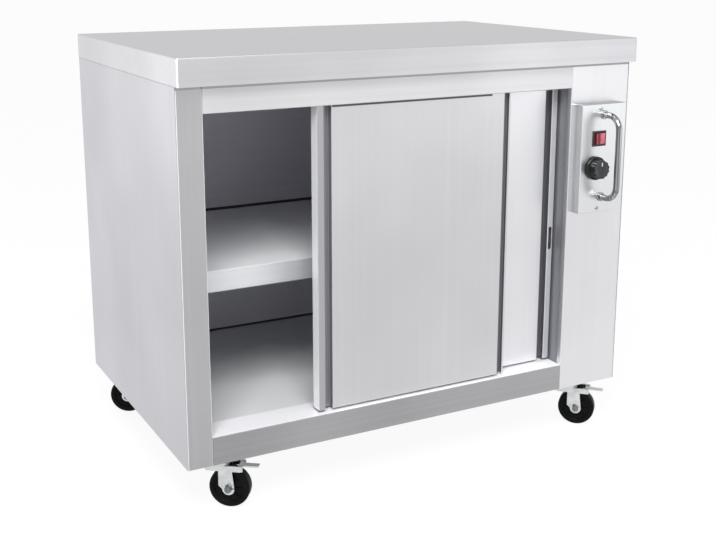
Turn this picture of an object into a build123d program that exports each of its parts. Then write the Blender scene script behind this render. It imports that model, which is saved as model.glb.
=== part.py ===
from build123d import *
import os
from math import cos, degrees, radians, sin

# Heated plate cabinet on castors: a folded stainless carcass with one shelf, two hanging
# sliding doors, and a narrow column on the right that holds the fan heater and the controls.
# Frame: X to the right, Y towards the back, Z up. The origin is on the floor, in the middle
# of the width and of the whole depth, guard bar included. All sizes are in millimetres.

os.makedirs("parts", exist_ok=True)

# ------------------------------------------------------------------ driving dimensions
# Carcass
worktop_width = 1000.0
worktop_depth = 650.0
overall_height = 865.0
skirt_height = 50.0
front_overhang = 20.0
side_overhang = 1.0
ground_clearance = 110.0
panel_sheet = 1.2
liner_sheet = 1.0
pan_sheet = 1.5
bend_radius = 2.0
worktop_corner_radius = 3.0
worktop_edge_radius = 2.5
worktop_hem = 35.0
panel_flange = 15.0
seat_clearance = 0.3

# Front frame
post_width = 50.0
header_height = 50.0
rail_height = 55.0
column_width = 149.0
jamb_depth = 70.0
post_return = 20.0
column_return = 12.0
header_bottom_return = 8.0
header_top_return = 12.0

# Compartment
deck_drop = 16.0
rear_cavity = 20.0
ceiling_rise = 5.0
shelf_top_height = 447.0
shelf_lip = 43.0
shelf_setback = 120.0
shelf_side_clearance = 2.0
shelf_rear_clearance = 4.0
shelf_rear_flange = 20.0
shelf_lip_return = 12.0
shelf_sheet = 1.2
runner_leg = 25.0
runner_sheet = 1.5
runner_setback = 12.0
insulation_clearance = 0.5

# Doors
door_sheet = 1.0
door_thickness = 25.0
door_setback = 10.0
door_gap = 6.0
door_overlap = 70.0
door_end_gap = 3.0
door_bottom_gap = 5.0
door_header_lap = 7.0
door_bend_radius = 1.2
pull_lip = 14.0
pull_width = 16.0
pull_depth = 14.0
trailing_lip = 3.0
trailing_width = 12.0
trailing_depth = 8.0
latch_slot_width = 8.0
latch_slot_height = 50.0
latch_slot_centre = 441.0
cap_sheet = 1.5
left_door_open = 220.0

# Door running gear
carrier_sheet = 2.0
track_sheet = 1.2
track_flange = 12.0
track_leg = 13.0
track_lip = 4.0
track_bend_radius = 1.3
track_door_gap = 6.0
track_end_gap = 4.0
roller_radius = 11.0
roller_width = 8.0
roller_edge_radius = 1.0
roller_pin_radius = 3.0
running_clearance = 0.05
roller_spacing = 300.0
hanger_sheet = 2.0
hanger_width = 30.0
hanger_inset = 6.0
hanger_foot = 14.0
hanger_rise = 9.0
hanger_boss_radius = 4.5
guide_fin = 4.0
guide_fin_inset = 5.0
guide_base = 3.0
guide_length = 40.0
guide_height = 13.0
guide_clearance = 1.5
guide_edge_radius = 1.3
guide_slot_clearance = 10.0

# Control box, guard bar, knob and switch
control_box_width = 115.0
control_box_height = 227.0
control_box_depth = 30.0
control_box_inset = 6.0
control_box_drop = 82.0
control_box_radius = 2.0
box_window_margin = 16.0
box_window_end = 26.0
fixing_column = 54.0
fixing_end = 9.0
pillar_radius = 4.0
fixing_screw_radius = 2.0
fixing_head_radius = 4.0
fixing_head_height = 2.4
fixing_slot_width = 1.0
fixing_slot_depth = 1.2
hole_clearance = 0.1
guard_column = 63.0
guard_foot_spacing = 173.0
guard_foot_inset = 32.0
guard_reach = 48.0
guard_radius = 6.5
guard_bend = 30.0
guard_collar_radius = 9.5
guard_collar_height = 2.5
guard_stud_radius = 3.0
guard_nut_height = 5.0
guard_nut_radius = 6.0
switch_column = 52.0
switch_rise = 156.0
switch_window_width = 26.0
switch_window_height = 24.0
switch_wall = 1.5
switch_bezel = 2.5
switch_bezel_height = 2.0
bezel_edge_radius = 0.7
switch_body_depth = 22.0
switch_cavity_depth = 4.0
rocker_clearance = 1.0
rocker_end_height = 6.0
rocker_middle_height = 4.0
rocker_tilt = 8.0
rocker_edge_radius = 0.8
trunnion_radius = 1.5
knob_column = 44.0
knob_rise = 94.5
knob_skirt_radius = 24.5
knob_skirt_height = 5.0
knob_grip_radius = 19.5
knob_length = 24.0
knob_gap = 1.0
knob_flute_count = 12
knob_flute_radius = 3.0
knob_edge_radius = 1.5
knob_pointer_width = 2.4
spindle_radius = 3.0
spindle_reach = 12.0
bushing_radius = 5.0
bushing_height = 0.8
thermostat_width = 38.0
thermostat_height = 44.0
thermostat_depth = 24.0

# Heater and electrics in the column
fan_setback = 330.0
fan_height = 260.0
duct_size = 92.0
duct_wall = 1.0
duct_length = 36.0
fan_length = 32.0
fan_bore_radius = 42.5
fan_blade_radius = 40.5
fan_hub_radius = 18.0
fan_motor_length = 14.0
fan_blade_count = 5
fan_blade_length = 12.0
fan_blade_sheet = 2.0
fan_blade_pitch = 38.0
fan_blade_root = 14.4
fan_corner_radius = 4.6
fan_spindle_radius = 2.0
strut_width = 5.0
strut_count = 3
element_radius = 3.2
element_pitch = 16.0
element_half_height = 34.0
element_tail = 22.0
element_run_count = 3
element_bend_radius = 7.8
element_plate = (14.0, 70.0, 2.0)
grille_slot_length = 80.0
grille_slot_height = 5.0
grille_slot_pitch = 10.0
grille_slot_count = 8
return_grille_height = 660.0
terminal_size = (50.0, 34.0, 24.0)
terminal_slot = 5.0
terminal_slot_depth = 8.0
terminal_slot_count = 5
terminal_setback = 480.0
terminal_column = 80.0
gland_setback = 330.0
gland_column = 90.0
gland_bore_radius = 4.5
gland_thread_radius = 8.0
gland_flange_radius = 12.0
gland_dome_radius = 10.0
gland_drop = 18.0
gland_nut_height = 5.0
probe_radius = 3.5
probe_length = 90.0
probe_height = 700.0
probe_setback = 200.0
probe_clip_width = 8.0
probe_clip_rise = 5.2
probe_clip_insets = (18.0, 72.0)
probe_stand_off = 1.5
vent_slot_length = 60.0
vent_slot_height = 5.0
vent_slot_pitch = 12.0
vent_slot_count = 6
vent_lowest = 560.0

# Castors
castor_angles = {"front_left": -37.0, "front_right": -46.0,
                 "rear_left": 150.0, "rear_right": 25.0}
wheel_radius = 40.0
wheel_width = 26.0
wheel_edge_radius = 5.0
tyre_depth = 10.0
hub_recess = 3.0
hub_radius = 10.0
castor_trail = 23.0
castor_side_inset = 81.0
castor_end_inset = 58.0
fork_wall = 3.0
fork_side_clearance = 2.0
fork_top = 87.0
fork_skirt = 11.0
fork_corner_radius = 6.0
fork_back = 24.0
fork_front = 52.0
fork_leg_width = 27.0
fork_leg_front = 8.0
fork_leg_taper = 6.0
fork_boss_radius = 12.0
axle_radius = 4.0
axle_nut_height = 5.0
axle_nut_radius = 7.2
race_radius = 23.0
race_height = 8.0
race_edge_radius = 1.5
race_gap = 0.4
cup_radius = 25.0
kingpin_radius = 5.0
kingpin_head_radius = 8.0
kingpin_head_height = 2.5
castor_plate_size_x = 62.0
castor_plate_size_y = 94.0
castor_plate_sheet = 3.0
castor_hole_span_x = 40.0
castor_hole_span_y = 72.0
castor_bolt_radius = 4.0
castor_bolt_clearance = 0.3
castor_bolt_head = 5.3
castor_bolt_head_radius = 7.2
castor_nut_height = 6.5
pedal_pivot_reach = 44.0
pedal_pivot_height = 80.5
pedal_pin_radius = 2.5
pedal_barrel_radius = 5.0
pedal_side_clearance = 1.5
pedal_reach = 36.0
pedal_width = 14.0
pedal_sheet = 3.0

# ------------------------------------------------------------------ derived places
body_width = worktop_width - 2 * side_overhang
body_depth = worktop_depth - front_overhang
body_left = -body_width / 2
body_right = body_width / 2
body_bottom = ground_clearance
body_top = overall_height - skirt_height
total_depth = body_depth + control_box_depth + guard_reach + guard_radius
back_y = total_depth / 2
front_y = back_y - body_depth
back_inner_y = back_y - panel_sheet
inner_left = body_left + panel_sheet
inner_right = body_right - panel_sheet
floor_top = body_bottom + pan_sheet

opening_left = body_left + post_width
opening_right = body_right - column_width
opening_top = body_top - header_height
opening_bottom = body_bottom + rail_height
chamber_right = opening_right + panel_sheet
jamb_y = front_y + jamb_depth
rail_rear_y = jamb_y - pan_sheet
rear_liner_y = back_y - rear_cavity
ceiling_y = jamb_y - liner_sheet
ceiling_z = opening_top + ceiling_rise
deck_z = opening_bottom - deck_drop
carrier_bottom = body_top - carrier_sheet

front_door_y = front_y + door_setback
rear_door_y = front_door_y + door_thickness + door_gap
door_bottom = opening_bottom + door_bottom_gap
door_top = opening_top + door_header_lap
door_width = (opening_right - opening_left - 2 * door_end_gap + door_overlap) / 2
left_door_x = opening_left + door_end_gap + left_door_open
right_door_x = opening_right - door_end_gap - door_width

track_leg_z = door_top + track_door_gap
roller_z = track_leg_z + track_sheet + seat_clearance + roller_radius
box_face_y = front_y - control_box_depth
box_left = opening_right + control_box_inset
box_inner_y = box_face_y + panel_sheet
control_box_bottom = body_top - control_box_drop - control_box_height
guard_foot_low = control_box_bottom + guard_foot_inset
switch_height = control_box_bottom + switch_rise
knob_height = control_box_bottom + knob_rise


# ------------------------------------------------------------------ helpers
def block(low, high, mode=Mode.ADD):
    """Add or cut a plain block between two opposite corners of the part being built."""
    with Locations(tuple((a + b) / 2 for a, b in zip(low, high))):
        Box(high[0] - low[0], high[1] - low[1], high[2] - low[2], mode=mode)


def fold(plane, points, sheet, length, side, radius=bend_radius):
    """Extrude a folded sheet whose outer face follows the points, along the plane's normal."""
    with BuildSketch(plane) as profile:
        with BuildLine():
            FilletPolyline(*points, radius=radius)
            offset(amount=sheet, side=side)
        make_face()
    extrude(profile.sketch, amount=length)


def rod(start, end, radius, mode=Mode.ADD):
    """Add or cut a round bar between two points of the part being built."""
    direction = Vector(end) - Vector(start)
    with BuildSketch(Plane(origin=start, z_dir=direction)) as section:
        Circle(radius)
    extrude(section.sketch, amount=direction.length, mode=mode)


def hexagon_bar(start, end, radius):
    """Add a hexagonal bar, such as a nut or a bolt's head, between two points."""
    direction = Vector(end) - Vector(start)
    with BuildSketch(Plane(origin=start, z_dir=direction)) as section:
        RegularPolygon(radius=radius, side_count=6)
    extrude(section.sketch, amount=direction.length)


def guide_fin_y(face_y):
    """Centre of the floor guide's fin inside a door, from the door's front face."""
    return face_y + door_thickness - door_sheet - guide_fin_inset + guide_fin / 2 - guide_clearance


def roller_line_y(face_y):
    """Centre of a door's rollers, above the middle of its track's running leg."""
    return face_y + door_thickness - track_sheet - (track_leg - track_sheet) / 2


def clear_floor_pan():
    """Cut the floor pan's place out of the part being built, so that it stands on the pan."""
    block((inner_left, front_y + panel_sheet, body_bottom), (inner_right, back_inner_y, floor_top),
          mode=Mode.SUBTRACT)


def save(piece, name):
    """Label a finished piece and write it as one STEP file."""
    piece.part.label = name
    export_step(piece.part, f"parts/{name}.step")


# ------------------------------------------------------------------ worktop
worktop_mid_y = (front_y - front_overhang + back_y) / 2
with BuildPart() as worktop:
    with BuildSketch(Plane.XY.offset(body_top)):
        with Locations((0, worktop_mid_y)):
            Rectangle(worktop_width, worktop_depth)
    extrude(amount=skirt_height)
    fillet(worktop.edges().filter_by(Axis.Z), radius=worktop_corner_radius)
    fillet(worktop.faces().sort_by(Axis.Z)[-1].edges(), radius=worktop_edge_radius)
    offset(amount=-panel_sheet, openings=worktop.faces().sort_by(Axis.Z)[0])
    with BuildSketch(Plane.XY.offset(body_top)):
        with Locations((0, worktop_mid_y)):
            Rectangle(worktop_width - 2 * panel_sheet, worktop_depth - 2 * panel_sheet)
            Rectangle(worktop_width - 2 * worktop_hem, worktop_depth - 2 * worktop_hem,
                      mode=Mode.SUBTRACT)
    extrude(amount=panel_sheet)
save(worktop, "worktop")

core_inset = panel_sheet + worktop_corner_radius
with BuildPart() as worktop_core:
    block((-worktop_width / 2 + core_inset, front_y - front_overhang + core_inset,
           body_top + panel_sheet),
          (worktop_width / 2 - core_inset, back_y - core_inset, overall_height - panel_sheet))
save(worktop_core, "worktop_core")


# ------------------------------------------------------------------ outer panels
def side_panel(edge_x, inwards):
    """Build a side panel: a flat sheet with its top edge folded inwards as a flange."""
    side = Side.RIGHT if inwards > 0 else Side.LEFT
    with BuildPart() as panel:
        fold(Plane.XZ.offset(-back_inner_y),
             [(edge_x, body_bottom), (edge_x, body_top), (edge_x + inwards * panel_flange, body_top)],
             panel_sheet, back_inner_y - front_y, side)
        flange_x = sorted((edge_x + inwards * panel_sheet, edge_x + inwards * panel_flange))
        block((flange_x[0], front_y, body_top - bend_radius),
              (flange_x[1], front_y + post_return + seat_clearance, body_top), mode=Mode.SUBTRACT)
    return panel


save(side_panel(body_left, 1), "left_side_panel")
save(side_panel(body_right, -1), "right_side_panel")

vent_x = (opening_right + body_right) / 2
with BuildPart() as back_panel:
    block((body_left, back_inner_y, body_bottom), (body_right, back_y, body_top))
    for row in range(vent_slot_count):
        slot_z = vent_lowest + row * vent_slot_pitch
        with BuildSketch(Plane.XZ.offset(-back_y)) as vent:
            with Locations((vent_x, slot_z)):
                SlotOverall(vent_slot_length, vent_slot_height)
        extrude(vent.sketch, amount=panel_sheet, mode=Mode.SUBTRACT)
save(back_panel, "back_panel")

# ------------------------------------------------------------------ castor places
castor_x = body_right - castor_side_inset
castor_places = {
    "front_left": (-castor_x, front_y + castor_end_inset),
    "front_right": (castor_x, front_y + castor_end_inset),
    "rear_left": (-castor_x, back_y - castor_end_inset),
    "rear_right": (castor_x, back_y - castor_end_inset),
}
castor_bolt_spots = [
    (x + sx * castor_hole_span_x / 2, y + sy * castor_hole_span_y / 2)
    for x, y in castor_places.values() for sx in (-1, 1) for sy in (-1, 1)
]
gland_x = opening_right + gland_column
gland_y = front_y + gland_setback

with BuildPart() as base_pan:
    block((inner_left, front_y + panel_sheet, body_bottom), (inner_right, back_inner_y, floor_top))
    with Locations(*[(x, y, floor_top) for x, y in castor_bolt_spots]):
        Hole(castor_bolt_radius + castor_bolt_clearance)
    with Locations((gland_x, gland_y, floor_top)):
        Hole(gland_thread_radius + hole_clearance)
save(base_pan, "base_pan")

# ------------------------------------------------------------------ front frame
with BuildPart() as left_post:
    fold(Plane.XY.offset(body_bottom),
         [(inner_left, front_y + post_return), (inner_left, front_y), (opening_left, front_y),
          (opening_left, jamb_y)],
         panel_sheet, body_top - body_bottom, Side.LEFT)
    clear_floor_pan()
save(left_post, "left_post")

with BuildPart() as right_jamb:
    fold(Plane.XY.offset(floor_top),
         [(chamber_right + panel_flange, front_y + panel_sheet),
          (chamber_right, front_y + panel_sheet), (chamber_right, jamb_y),
          (chamber_right + panel_flange, jamb_y)],
         panel_sheet, body_top - floor_top, Side.RIGHT)
save(right_jamb, "right_jamb")

with BuildPart() as header_rail:
    fold(Plane.YZ.offset(opening_left),
         [(front_y + header_bottom_return, opening_top), (front_y, opening_top),
          (front_y, body_top), (front_y + header_top_return, body_top)],
         panel_sheet, opening_right - opening_left, Side.RIGHT)
save(header_rail, "header_rail")

with BuildPart() as bottom_rail:
    fold(Plane.YZ.offset(opening_left),
         [(front_y, body_bottom), (front_y, opening_bottom), (rail_rear_y, opening_bottom),
          (rail_rear_y, deck_z - liner_sheet)],
         panel_sheet, opening_right - opening_left, Side.RIGHT)
    clear_floor_pan()
save(bottom_rail, "bottom_rail")

fixing_x = box_left + fixing_column - control_box_inset
fixing_heights = (control_box_bottom + fixing_end,
                  control_box_bottom + control_box_height - fixing_end)
with BuildPart() as column_front:
    fold(Plane.XY.offset(body_bottom),
         [(opening_right, front_y + column_return), (opening_right, front_y),
          (inner_right, front_y), (inner_right, front_y + column_return)],
         panel_sheet, body_top - body_bottom, Side.LEFT)
    block((box_left + box_window_margin, front_y, control_box_bottom + box_window_end),
          (box_left + control_box_width - box_window_margin, front_y + panel_sheet,
           control_box_bottom + control_box_height - box_window_end), mode=Mode.SUBTRACT)
    clear_floor_pan()
save(column_front, "column_front")

# ------------------------------------------------------------------ compartment
fan_y = front_y + fan_setback
with BuildPart() as compartment_ceiling:
    fold(Plane.YZ.offset(opening_left),
         [(ceiling_y, body_top), (ceiling_y, ceiling_z), (rear_liner_y, ceiling_z)],
         liner_sheet, chamber_right - opening_left, Side.LEFT)
save(compartment_ceiling, "compartment_ceiling")

with BuildPart() as left_liner:
    block((opening_left - liner_sheet, jamb_y, floor_top),
          (opening_left, rear_liner_y, carrier_bottom))
save(left_liner, "left_liner")

with BuildPart() as rear_liner:
    block((opening_left, rear_liner_y - liner_sheet, deck_z),
          (chamber_right, rear_liner_y, ceiling_z))
save(rear_liner, "rear_liner")

grille_heights = [
    centre + (row - (grille_slot_count - 1) / 2) * grille_slot_pitch
    for centre in (fan_height, return_grille_height) for row in range(grille_slot_count)
]
with BuildPart() as right_liner:
    block((chamber_right, jamb_y, floor_top),
          (chamber_right + liner_sheet, rear_liner_y, carrier_bottom))
    with BuildSketch(Plane.YZ.offset(chamber_right)) as slots:
        with Locations(*[(fan_y, z) for z in grille_heights]):
            SlotOverall(grille_slot_length, grille_slot_height)
    extrude(slots.sketch, amount=liner_sheet, mode=Mode.SUBTRACT)
save(right_liner, "right_liner")

with BuildPart() as deck:
    fold(Plane.XZ.offset(-rear_liner_y),
         [(opening_left, floor_top), (opening_left, deck_z), (chamber_right, deck_z),
          (chamber_right, floor_top)],
         liner_sheet, rear_liner_y - rail_rear_y, Side.RIGHT)
save(deck, "deck")

shelf_left = opening_left + shelf_side_clearance
shelf_right = chamber_right - shelf_side_clearance
shelf_front_y = front_y + shelf_setback
shelf_rear_y = rear_liner_y - liner_sheet - shelf_rear_clearance
with BuildPart() as shelf:
    fold(Plane.YZ.offset(shelf_left),
         [(shelf_front_y + shelf_lip_return, shelf_top_height - shelf_lip),
          (shelf_front_y, shelf_top_height - shelf_lip), (shelf_front_y, shelf_top_height),
          (shelf_rear_y, shelf_top_height), (shelf_rear_y, shelf_top_height - shelf_rear_flange)],
         shelf_sheet, shelf_right - shelf_left, Side.RIGHT)
save(shelf, "shelf")

runner_top = shelf_top_height - shelf_sheet
runner_front_y = shelf_front_y + shelf_lip_return + runner_setback
runner_rear_y = shelf_rear_y - runner_setback
with BuildPart() as shelf_runners:
    for wall_x, inwards, side in ((opening_left, 1, Side.RIGHT), (chamber_right, -1, Side.LEFT)):
        fold(Plane.XZ.offset(-runner_rear_y),
             [(wall_x, runner_top - runner_leg), (wall_x, runner_top),
              (wall_x + inwards * runner_leg, runner_top)],
             runner_sheet, runner_rear_y - runner_front_y, side)
save(shelf_runners, "shelf_runners")

slab_low = floor_top + castor_nut_height + insulation_clearance
slab_top = carrier_bottom - insulation_clearance
with BuildPart() as insulation:
    block((inner_left + insulation_clearance, jamb_y + insulation_clearance, slab_low),
          (opening_left - liner_sheet - insulation_clearance, back_inner_y - insulation_clearance,
           slab_top))
    block((opening_left, rear_liner_y + insulation_clearance, slab_low),
          (chamber_right, back_inner_y - insulation_clearance, slab_top))
    block((opening_left + insulation_clearance, jamb_y + insulation_clearance,
           ceiling_z + liner_sheet + insulation_clearance),
          (chamber_right - insulation_clearance, rear_liner_y - insulation_clearance, slab_top))
save(insulation, "insulation")

# ------------------------------------------------------------------ door running gear
with BuildPart() as track_carrier:
    block((opening_left, front_y + header_top_return, carrier_bottom),
          (chamber_right, ceiling_y, body_top))
save(track_carrier, "track_carrier")


def track_profile(face_y):
    """Points of a J-shaped track in section: top flange, web, running leg and lip."""
    web_y = face_y + door_thickness
    return [(web_y - track_flange, carrier_bottom), (web_y, carrier_bottom), (web_y, track_leg_z),
            (web_y - track_leg, track_leg_z), (web_y - track_leg, track_leg_z + track_lip)]


with BuildPart() as door_tracks:
    for face_y in (front_door_y, rear_door_y):
        fold(Plane.YZ.offset(opening_left + track_end_gap), track_profile(face_y), track_sheet,
             opening_right - opening_left - 2 * track_end_gap, Side.RIGHT, radius=track_bend_radius)
save(door_tracks, "door_tracks")

guide_y = [guide_fin_y(face_y) for face_y in (front_door_y, rear_door_y)]
guide_x = (opening_left + opening_right) / 2
with BuildPart() as bottom_guide:
    block((guide_x - guide_length / 2, guide_y[0] - guide_fin, opening_bottom),
          (guide_x + guide_length / 2, guide_y[1] + guide_fin, opening_bottom + guide_base))
    for fin_y in guide_y:
        block((guide_x - guide_length / 2, fin_y - guide_fin / 2, opening_bottom + guide_base),
              (guide_x + guide_length / 2, fin_y + guide_fin / 2, opening_bottom + guide_height))
    fillet(bottom_guide.edges().filter_by(Axis.X).group_by(Axis.Z)[-1], radius=guide_edge_radius)
save(bottom_guide, "bottom_guide")


# ------------------------------------------------------------------ doors
def door_across(left_x, pull_side, offsets):
    """Turn distances from the pull edge into X, for a door that is pulled on the left or right."""
    if pull_side == "left":
        return [left_x + offset_x for offset_x in offsets]
    return [left_x + door_width - offset_x for offset_x in offsets]


def door_skin(left_x, face_y, pull_side):
    """Build a door's front skin: face, finger pull, trailing groove and side returns."""
    rear_y = face_y + door_thickness - door_sheet
    pull_end = pull_lip + pull_width
    groove_start = door_width - trailing_lip - trailing_width
    groove_end = door_width - trailing_lip
    offsets = [0, 0, pull_lip, pull_lip, pull_end, pull_end, groove_start, groove_start,
               groove_end, groove_end, door_width, door_width]
    pull_y = face_y + pull_depth
    groove_y = face_y + trailing_depth
    depths = [rear_y, face_y, face_y, pull_y, pull_y, face_y, face_y, groove_y, groove_y,
              face_y, face_y, rear_y]
    side = Side.LEFT if pull_side == "left" else Side.RIGHT
    with BuildPart() as skin:
        fold(Plane.XY.offset(door_bottom), list(zip(door_across(left_x, pull_side, offsets), depths)),
             door_sheet, door_top - door_bottom, side, radius=door_bend_radius)
    return skin


def door_caps(left_x, face_y, pull_side):
    """Build a door's top cap and its bottom cap, which is slotted for the floor guide."""
    fin_y = guide_fin_y(face_y)
    rear_y = face_y + door_thickness - door_sheet
    edge = door_sheet + seat_clearance
    main = door_across(left_x, pull_side, [pull_lip + pull_width + edge,
                                           door_width - trailing_lip - trailing_width - edge])
    narrow = door_across(left_x, pull_side, [edge, door_width - edge])
    narrow_y = face_y + pull_depth + edge
    slot_half = guide_fin / 2 + guide_clearance
    slot_end = door_end_gap + guide_slot_clearance
    with BuildPart() as caps:
        for low_z in (door_bottom, door_top - cap_sheet):
            block((min(main), face_y + edge, low_z), (max(main), rear_y, low_z + cap_sheet))
            block((min(narrow), narrow_y, low_z), (max(narrow), rear_y, low_z + cap_sheet))
        block((min(narrow) + slot_end, fin_y - slot_half, door_bottom),
              (max(narrow) - slot_end, fin_y + slot_half, door_bottom + cap_sheet),
              mode=Mode.SUBTRACT)
    return caps


def door_hangers(left_x, face_y):
    """Build a door's two hangers: foot, upright and the pin that its roller turns on."""
    plate_y = face_y + hanger_inset
    roller_y = roller_line_y(face_y)
    roller_face = roller_y - roller_width / 2
    pin_end = roller_y + roller_width / 2 + seat_clearance
    with BuildPart() as hangers:
        for spot in (-roller_spacing / 2, roller_spacing / 2):
            centre_x = left_x + door_width / 2 + spot
            block((centre_x - hanger_width / 2, plate_y, door_top),
                  (centre_x + hanger_width / 2, plate_y + hanger_foot, door_top + hanger_sheet))
            block((centre_x - hanger_width / 2, plate_y, door_top),
                  (centre_x + hanger_width / 2, plate_y + hanger_sheet,
                   roller_z + hanger_rise))
            rod((centre_x, plate_y + hanger_sheet, roller_z), (centre_x, pin_end, roller_z),
                roller_pin_radius)
            rod((centre_x, plate_y + hanger_sheet, roller_z),
                (centre_x, roller_face - seat_clearance, roller_z), hanger_boss_radius)
    return hangers


def door_roller(centre_x, face_y):
    """Build a nylon roller with its bore and a shallow running groove's rounded rim."""
    roller_y = roller_line_y(face_y)
    with BuildPart() as roller:
        with BuildSketch(Plane.XZ.offset(-roller_y - roller_width / 2)):
            with Locations((centre_x, roller_z)):
                Circle(roller_radius)
                Circle(roller_pin_radius + running_clearance, mode=Mode.SUBTRACT)
        extrude(amount=roller_width)
        fillet(roller.edges().filter_by(GeomType.CIRCLE).sort_by(SortBy.RADIUS)[-2:],
               radius=roller_edge_radius)
    return roller


for side_name, left_x, face_y in (("left", left_door_x, front_door_y),
                                  ("right", right_door_x, rear_door_y)):
    skin = door_skin(left_x, face_y, side_name)
    if side_name == "right":
        slot_x = left_x + door_width - pull_lip / 2
        with BuildPart() as slotted_skin:
            add(skin.part)
            with BuildSketch(Plane.XZ.offset(-face_y - door_sheet)) as latch_slot:
                with Locations((slot_x, latch_slot_centre)):
                    SlotOverall(latch_slot_height, latch_slot_width, rotation=90)
            extrude(latch_slot.sketch, amount=door_sheet, mode=Mode.SUBTRACT)
        skin = slotted_skin
    save(skin, f"{side_name}_door_front_skin")
    with BuildPart() as inner_skin:
        block((left_x, face_y + door_thickness - door_sheet, door_bottom),
              (left_x + door_width, face_y + door_thickness, door_top))
    save(inner_skin, f"{side_name}_door_inner_skin")
    save(door_caps(left_x, face_y, side_name), f"{side_name}_door_end_caps")
    save(door_hangers(left_x, face_y), f"{side_name}_door_hangers")
    for end_name, spot in (("a", -roller_spacing / 2), ("b", roller_spacing / 2)):
        save(door_roller(left_x + door_width / 2 + spot, face_y), f"{side_name}_door_roller_{end_name}")

# ------------------------------------------------------------------ control box
guard_x = opening_right + guard_column
guard_heights = (guard_foot_low, guard_foot_low + guard_foot_spacing)
switch_x = opening_right + switch_column
knob_x = opening_right + knob_column
housing_width = switch_window_width + 2 * switch_wall
housing_height = switch_window_height + 2 * switch_wall
with BuildPart() as control_box:
    block((box_left, box_face_y, control_box_bottom),
          (box_left + control_box_width, front_y, control_box_bottom + control_box_height))
    fillet(control_box.edges().filter_by(Axis.Y), radius=control_box_radius)
    fillet(control_box.faces().sort_by(Axis.Y)[0].edges(), radius=control_box_radius - hole_clearance)
    offset(amount=-panel_sheet, openings=control_box.faces().sort_by(Axis.Y)[-1])
    with BuildSketch(Plane.XZ.offset(-box_inner_y)) as cut_outs:
        with Locations((switch_x, switch_height)):
            Rectangle(housing_width + 2 * hole_clearance, housing_height + 2 * hole_clearance)
        with Locations((knob_x, knob_height)):
            Circle(bushing_radius + hole_clearance)
        with Locations(*[(fixing_x, z) for z in fixing_heights]):
            Circle(fixing_screw_radius + hole_clearance)
        with Locations(*[(guard_x, z) for z in guard_heights]):
            Circle(guard_stud_radius + hole_clearance)
    extrude(cut_outs.sketch, amount=panel_sheet, mode=Mode.SUBTRACT)
save(control_box, "control_box")

with BuildPart() as box_fixings:
    for z in fixing_heights:
        rod((fixing_x, front_y, z), (fixing_x, box_inner_y, z), pillar_radius)
        rod((fixing_x, box_inner_y, z), (fixing_x, box_face_y, z), fixing_screw_radius)
        rod((fixing_x, box_face_y, z), (fixing_x, box_face_y - fixing_head_height, z),
            fixing_head_radius)
        block((fixing_x - fixing_head_radius, box_face_y - fixing_head_height,
               z - fixing_slot_width / 2),
              (fixing_x + fixing_head_radius,
               box_face_y - fixing_head_height + fixing_slot_depth, z + fixing_slot_width / 2),
              mode=Mode.SUBTRACT)
save(box_fixings, "control_box_fixings")

with BuildPart() as guard_handle:
    bar_y = box_face_y - guard_reach
    with BuildLine() as bar_path:
        FilletPolyline((guard_x, box_face_y, guard_heights[0]), (guard_x, bar_y, guard_heights[0]),
                       (guard_x, bar_y, guard_heights[1]), (guard_x, box_face_y, guard_heights[1]),
                       radius=guard_bend)
    with BuildSketch(Plane(origin=bar_path.line @ 0, z_dir=bar_path.line % 0)):
        Circle(guard_radius)
    sweep(path=bar_path.line)
    for z in guard_heights:
        rod((guard_x, box_face_y, z), (guard_x, box_face_y - guard_collar_height, z),
            guard_collar_radius)
        rod((guard_x, box_face_y, z), (guard_x, box_inner_y + guard_nut_height, z),
            guard_stud_radius)
        hexagon_bar((guard_x, box_inner_y, z), (guard_x, box_inner_y + guard_nut_height, z),
                    guard_nut_radius)
save(guard_handle, "guard_handle")

# ------------------------------------------------------------------ rocker switch
with BuildPart() as switch_housing:
    body_y = box_face_y + switch_body_depth
    block((switch_x - housing_width / 2, box_face_y, switch_height - housing_height / 2),
          (switch_x + housing_width / 2, body_y, switch_height + housing_height / 2))
    block((switch_x - housing_width / 2 - switch_bezel, box_face_y - switch_bezel_height,
           switch_height - housing_height / 2 - switch_bezel),
          (switch_x + housing_width / 2 + switch_bezel, box_face_y,
           switch_height + housing_height / 2 + switch_bezel))
    fillet(switch_housing.faces().sort_by(Axis.Y)[0].edges(), radius=bezel_edge_radius)
    block((switch_x - switch_window_width / 2, box_face_y - switch_bezel_height,
           switch_height - switch_window_height / 2),
          (switch_x + switch_window_width / 2, box_face_y + switch_cavity_depth,
           switch_height + switch_window_height / 2), mode=Mode.SUBTRACT)
save(switch_housing, "switch_housing")

rocker_half = switch_window_width / 2 - rocker_clearance
rocker_low = switch_height - switch_window_height / 2 + rocker_clearance
trunnion_half = switch_window_height / 2 - seat_clearance
with BuildPart() as rocker:
    with BuildSketch(Plane(origin=(switch_x, box_face_y, rocker_low),
                           x_dir=(cos(radians(rocker_tilt)), sin(radians(rocker_tilt)), 0),
                           z_dir=(0, 0, 1))):
        with BuildLine():
            Polyline((-rocker_half, rocker_clearance), (-rocker_half, -rocker_end_height),
                     (0, -rocker_middle_height), (rocker_half, -rocker_end_height),
                     (rocker_half, rocker_clearance), close=True)
        make_face()
    extrude(amount=switch_window_height - 2 * rocker_clearance)
    fillet(rocker.edges().filter_by(Axis.Z).sort_by(Axis.Y)[:2], radius=rocker_edge_radius)
    rod((switch_x, box_face_y, switch_height - trunnion_half),
        (switch_x, box_face_y, switch_height + trunnion_half), trunnion_radius)
save(rocker, "switch_rocker")

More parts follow.
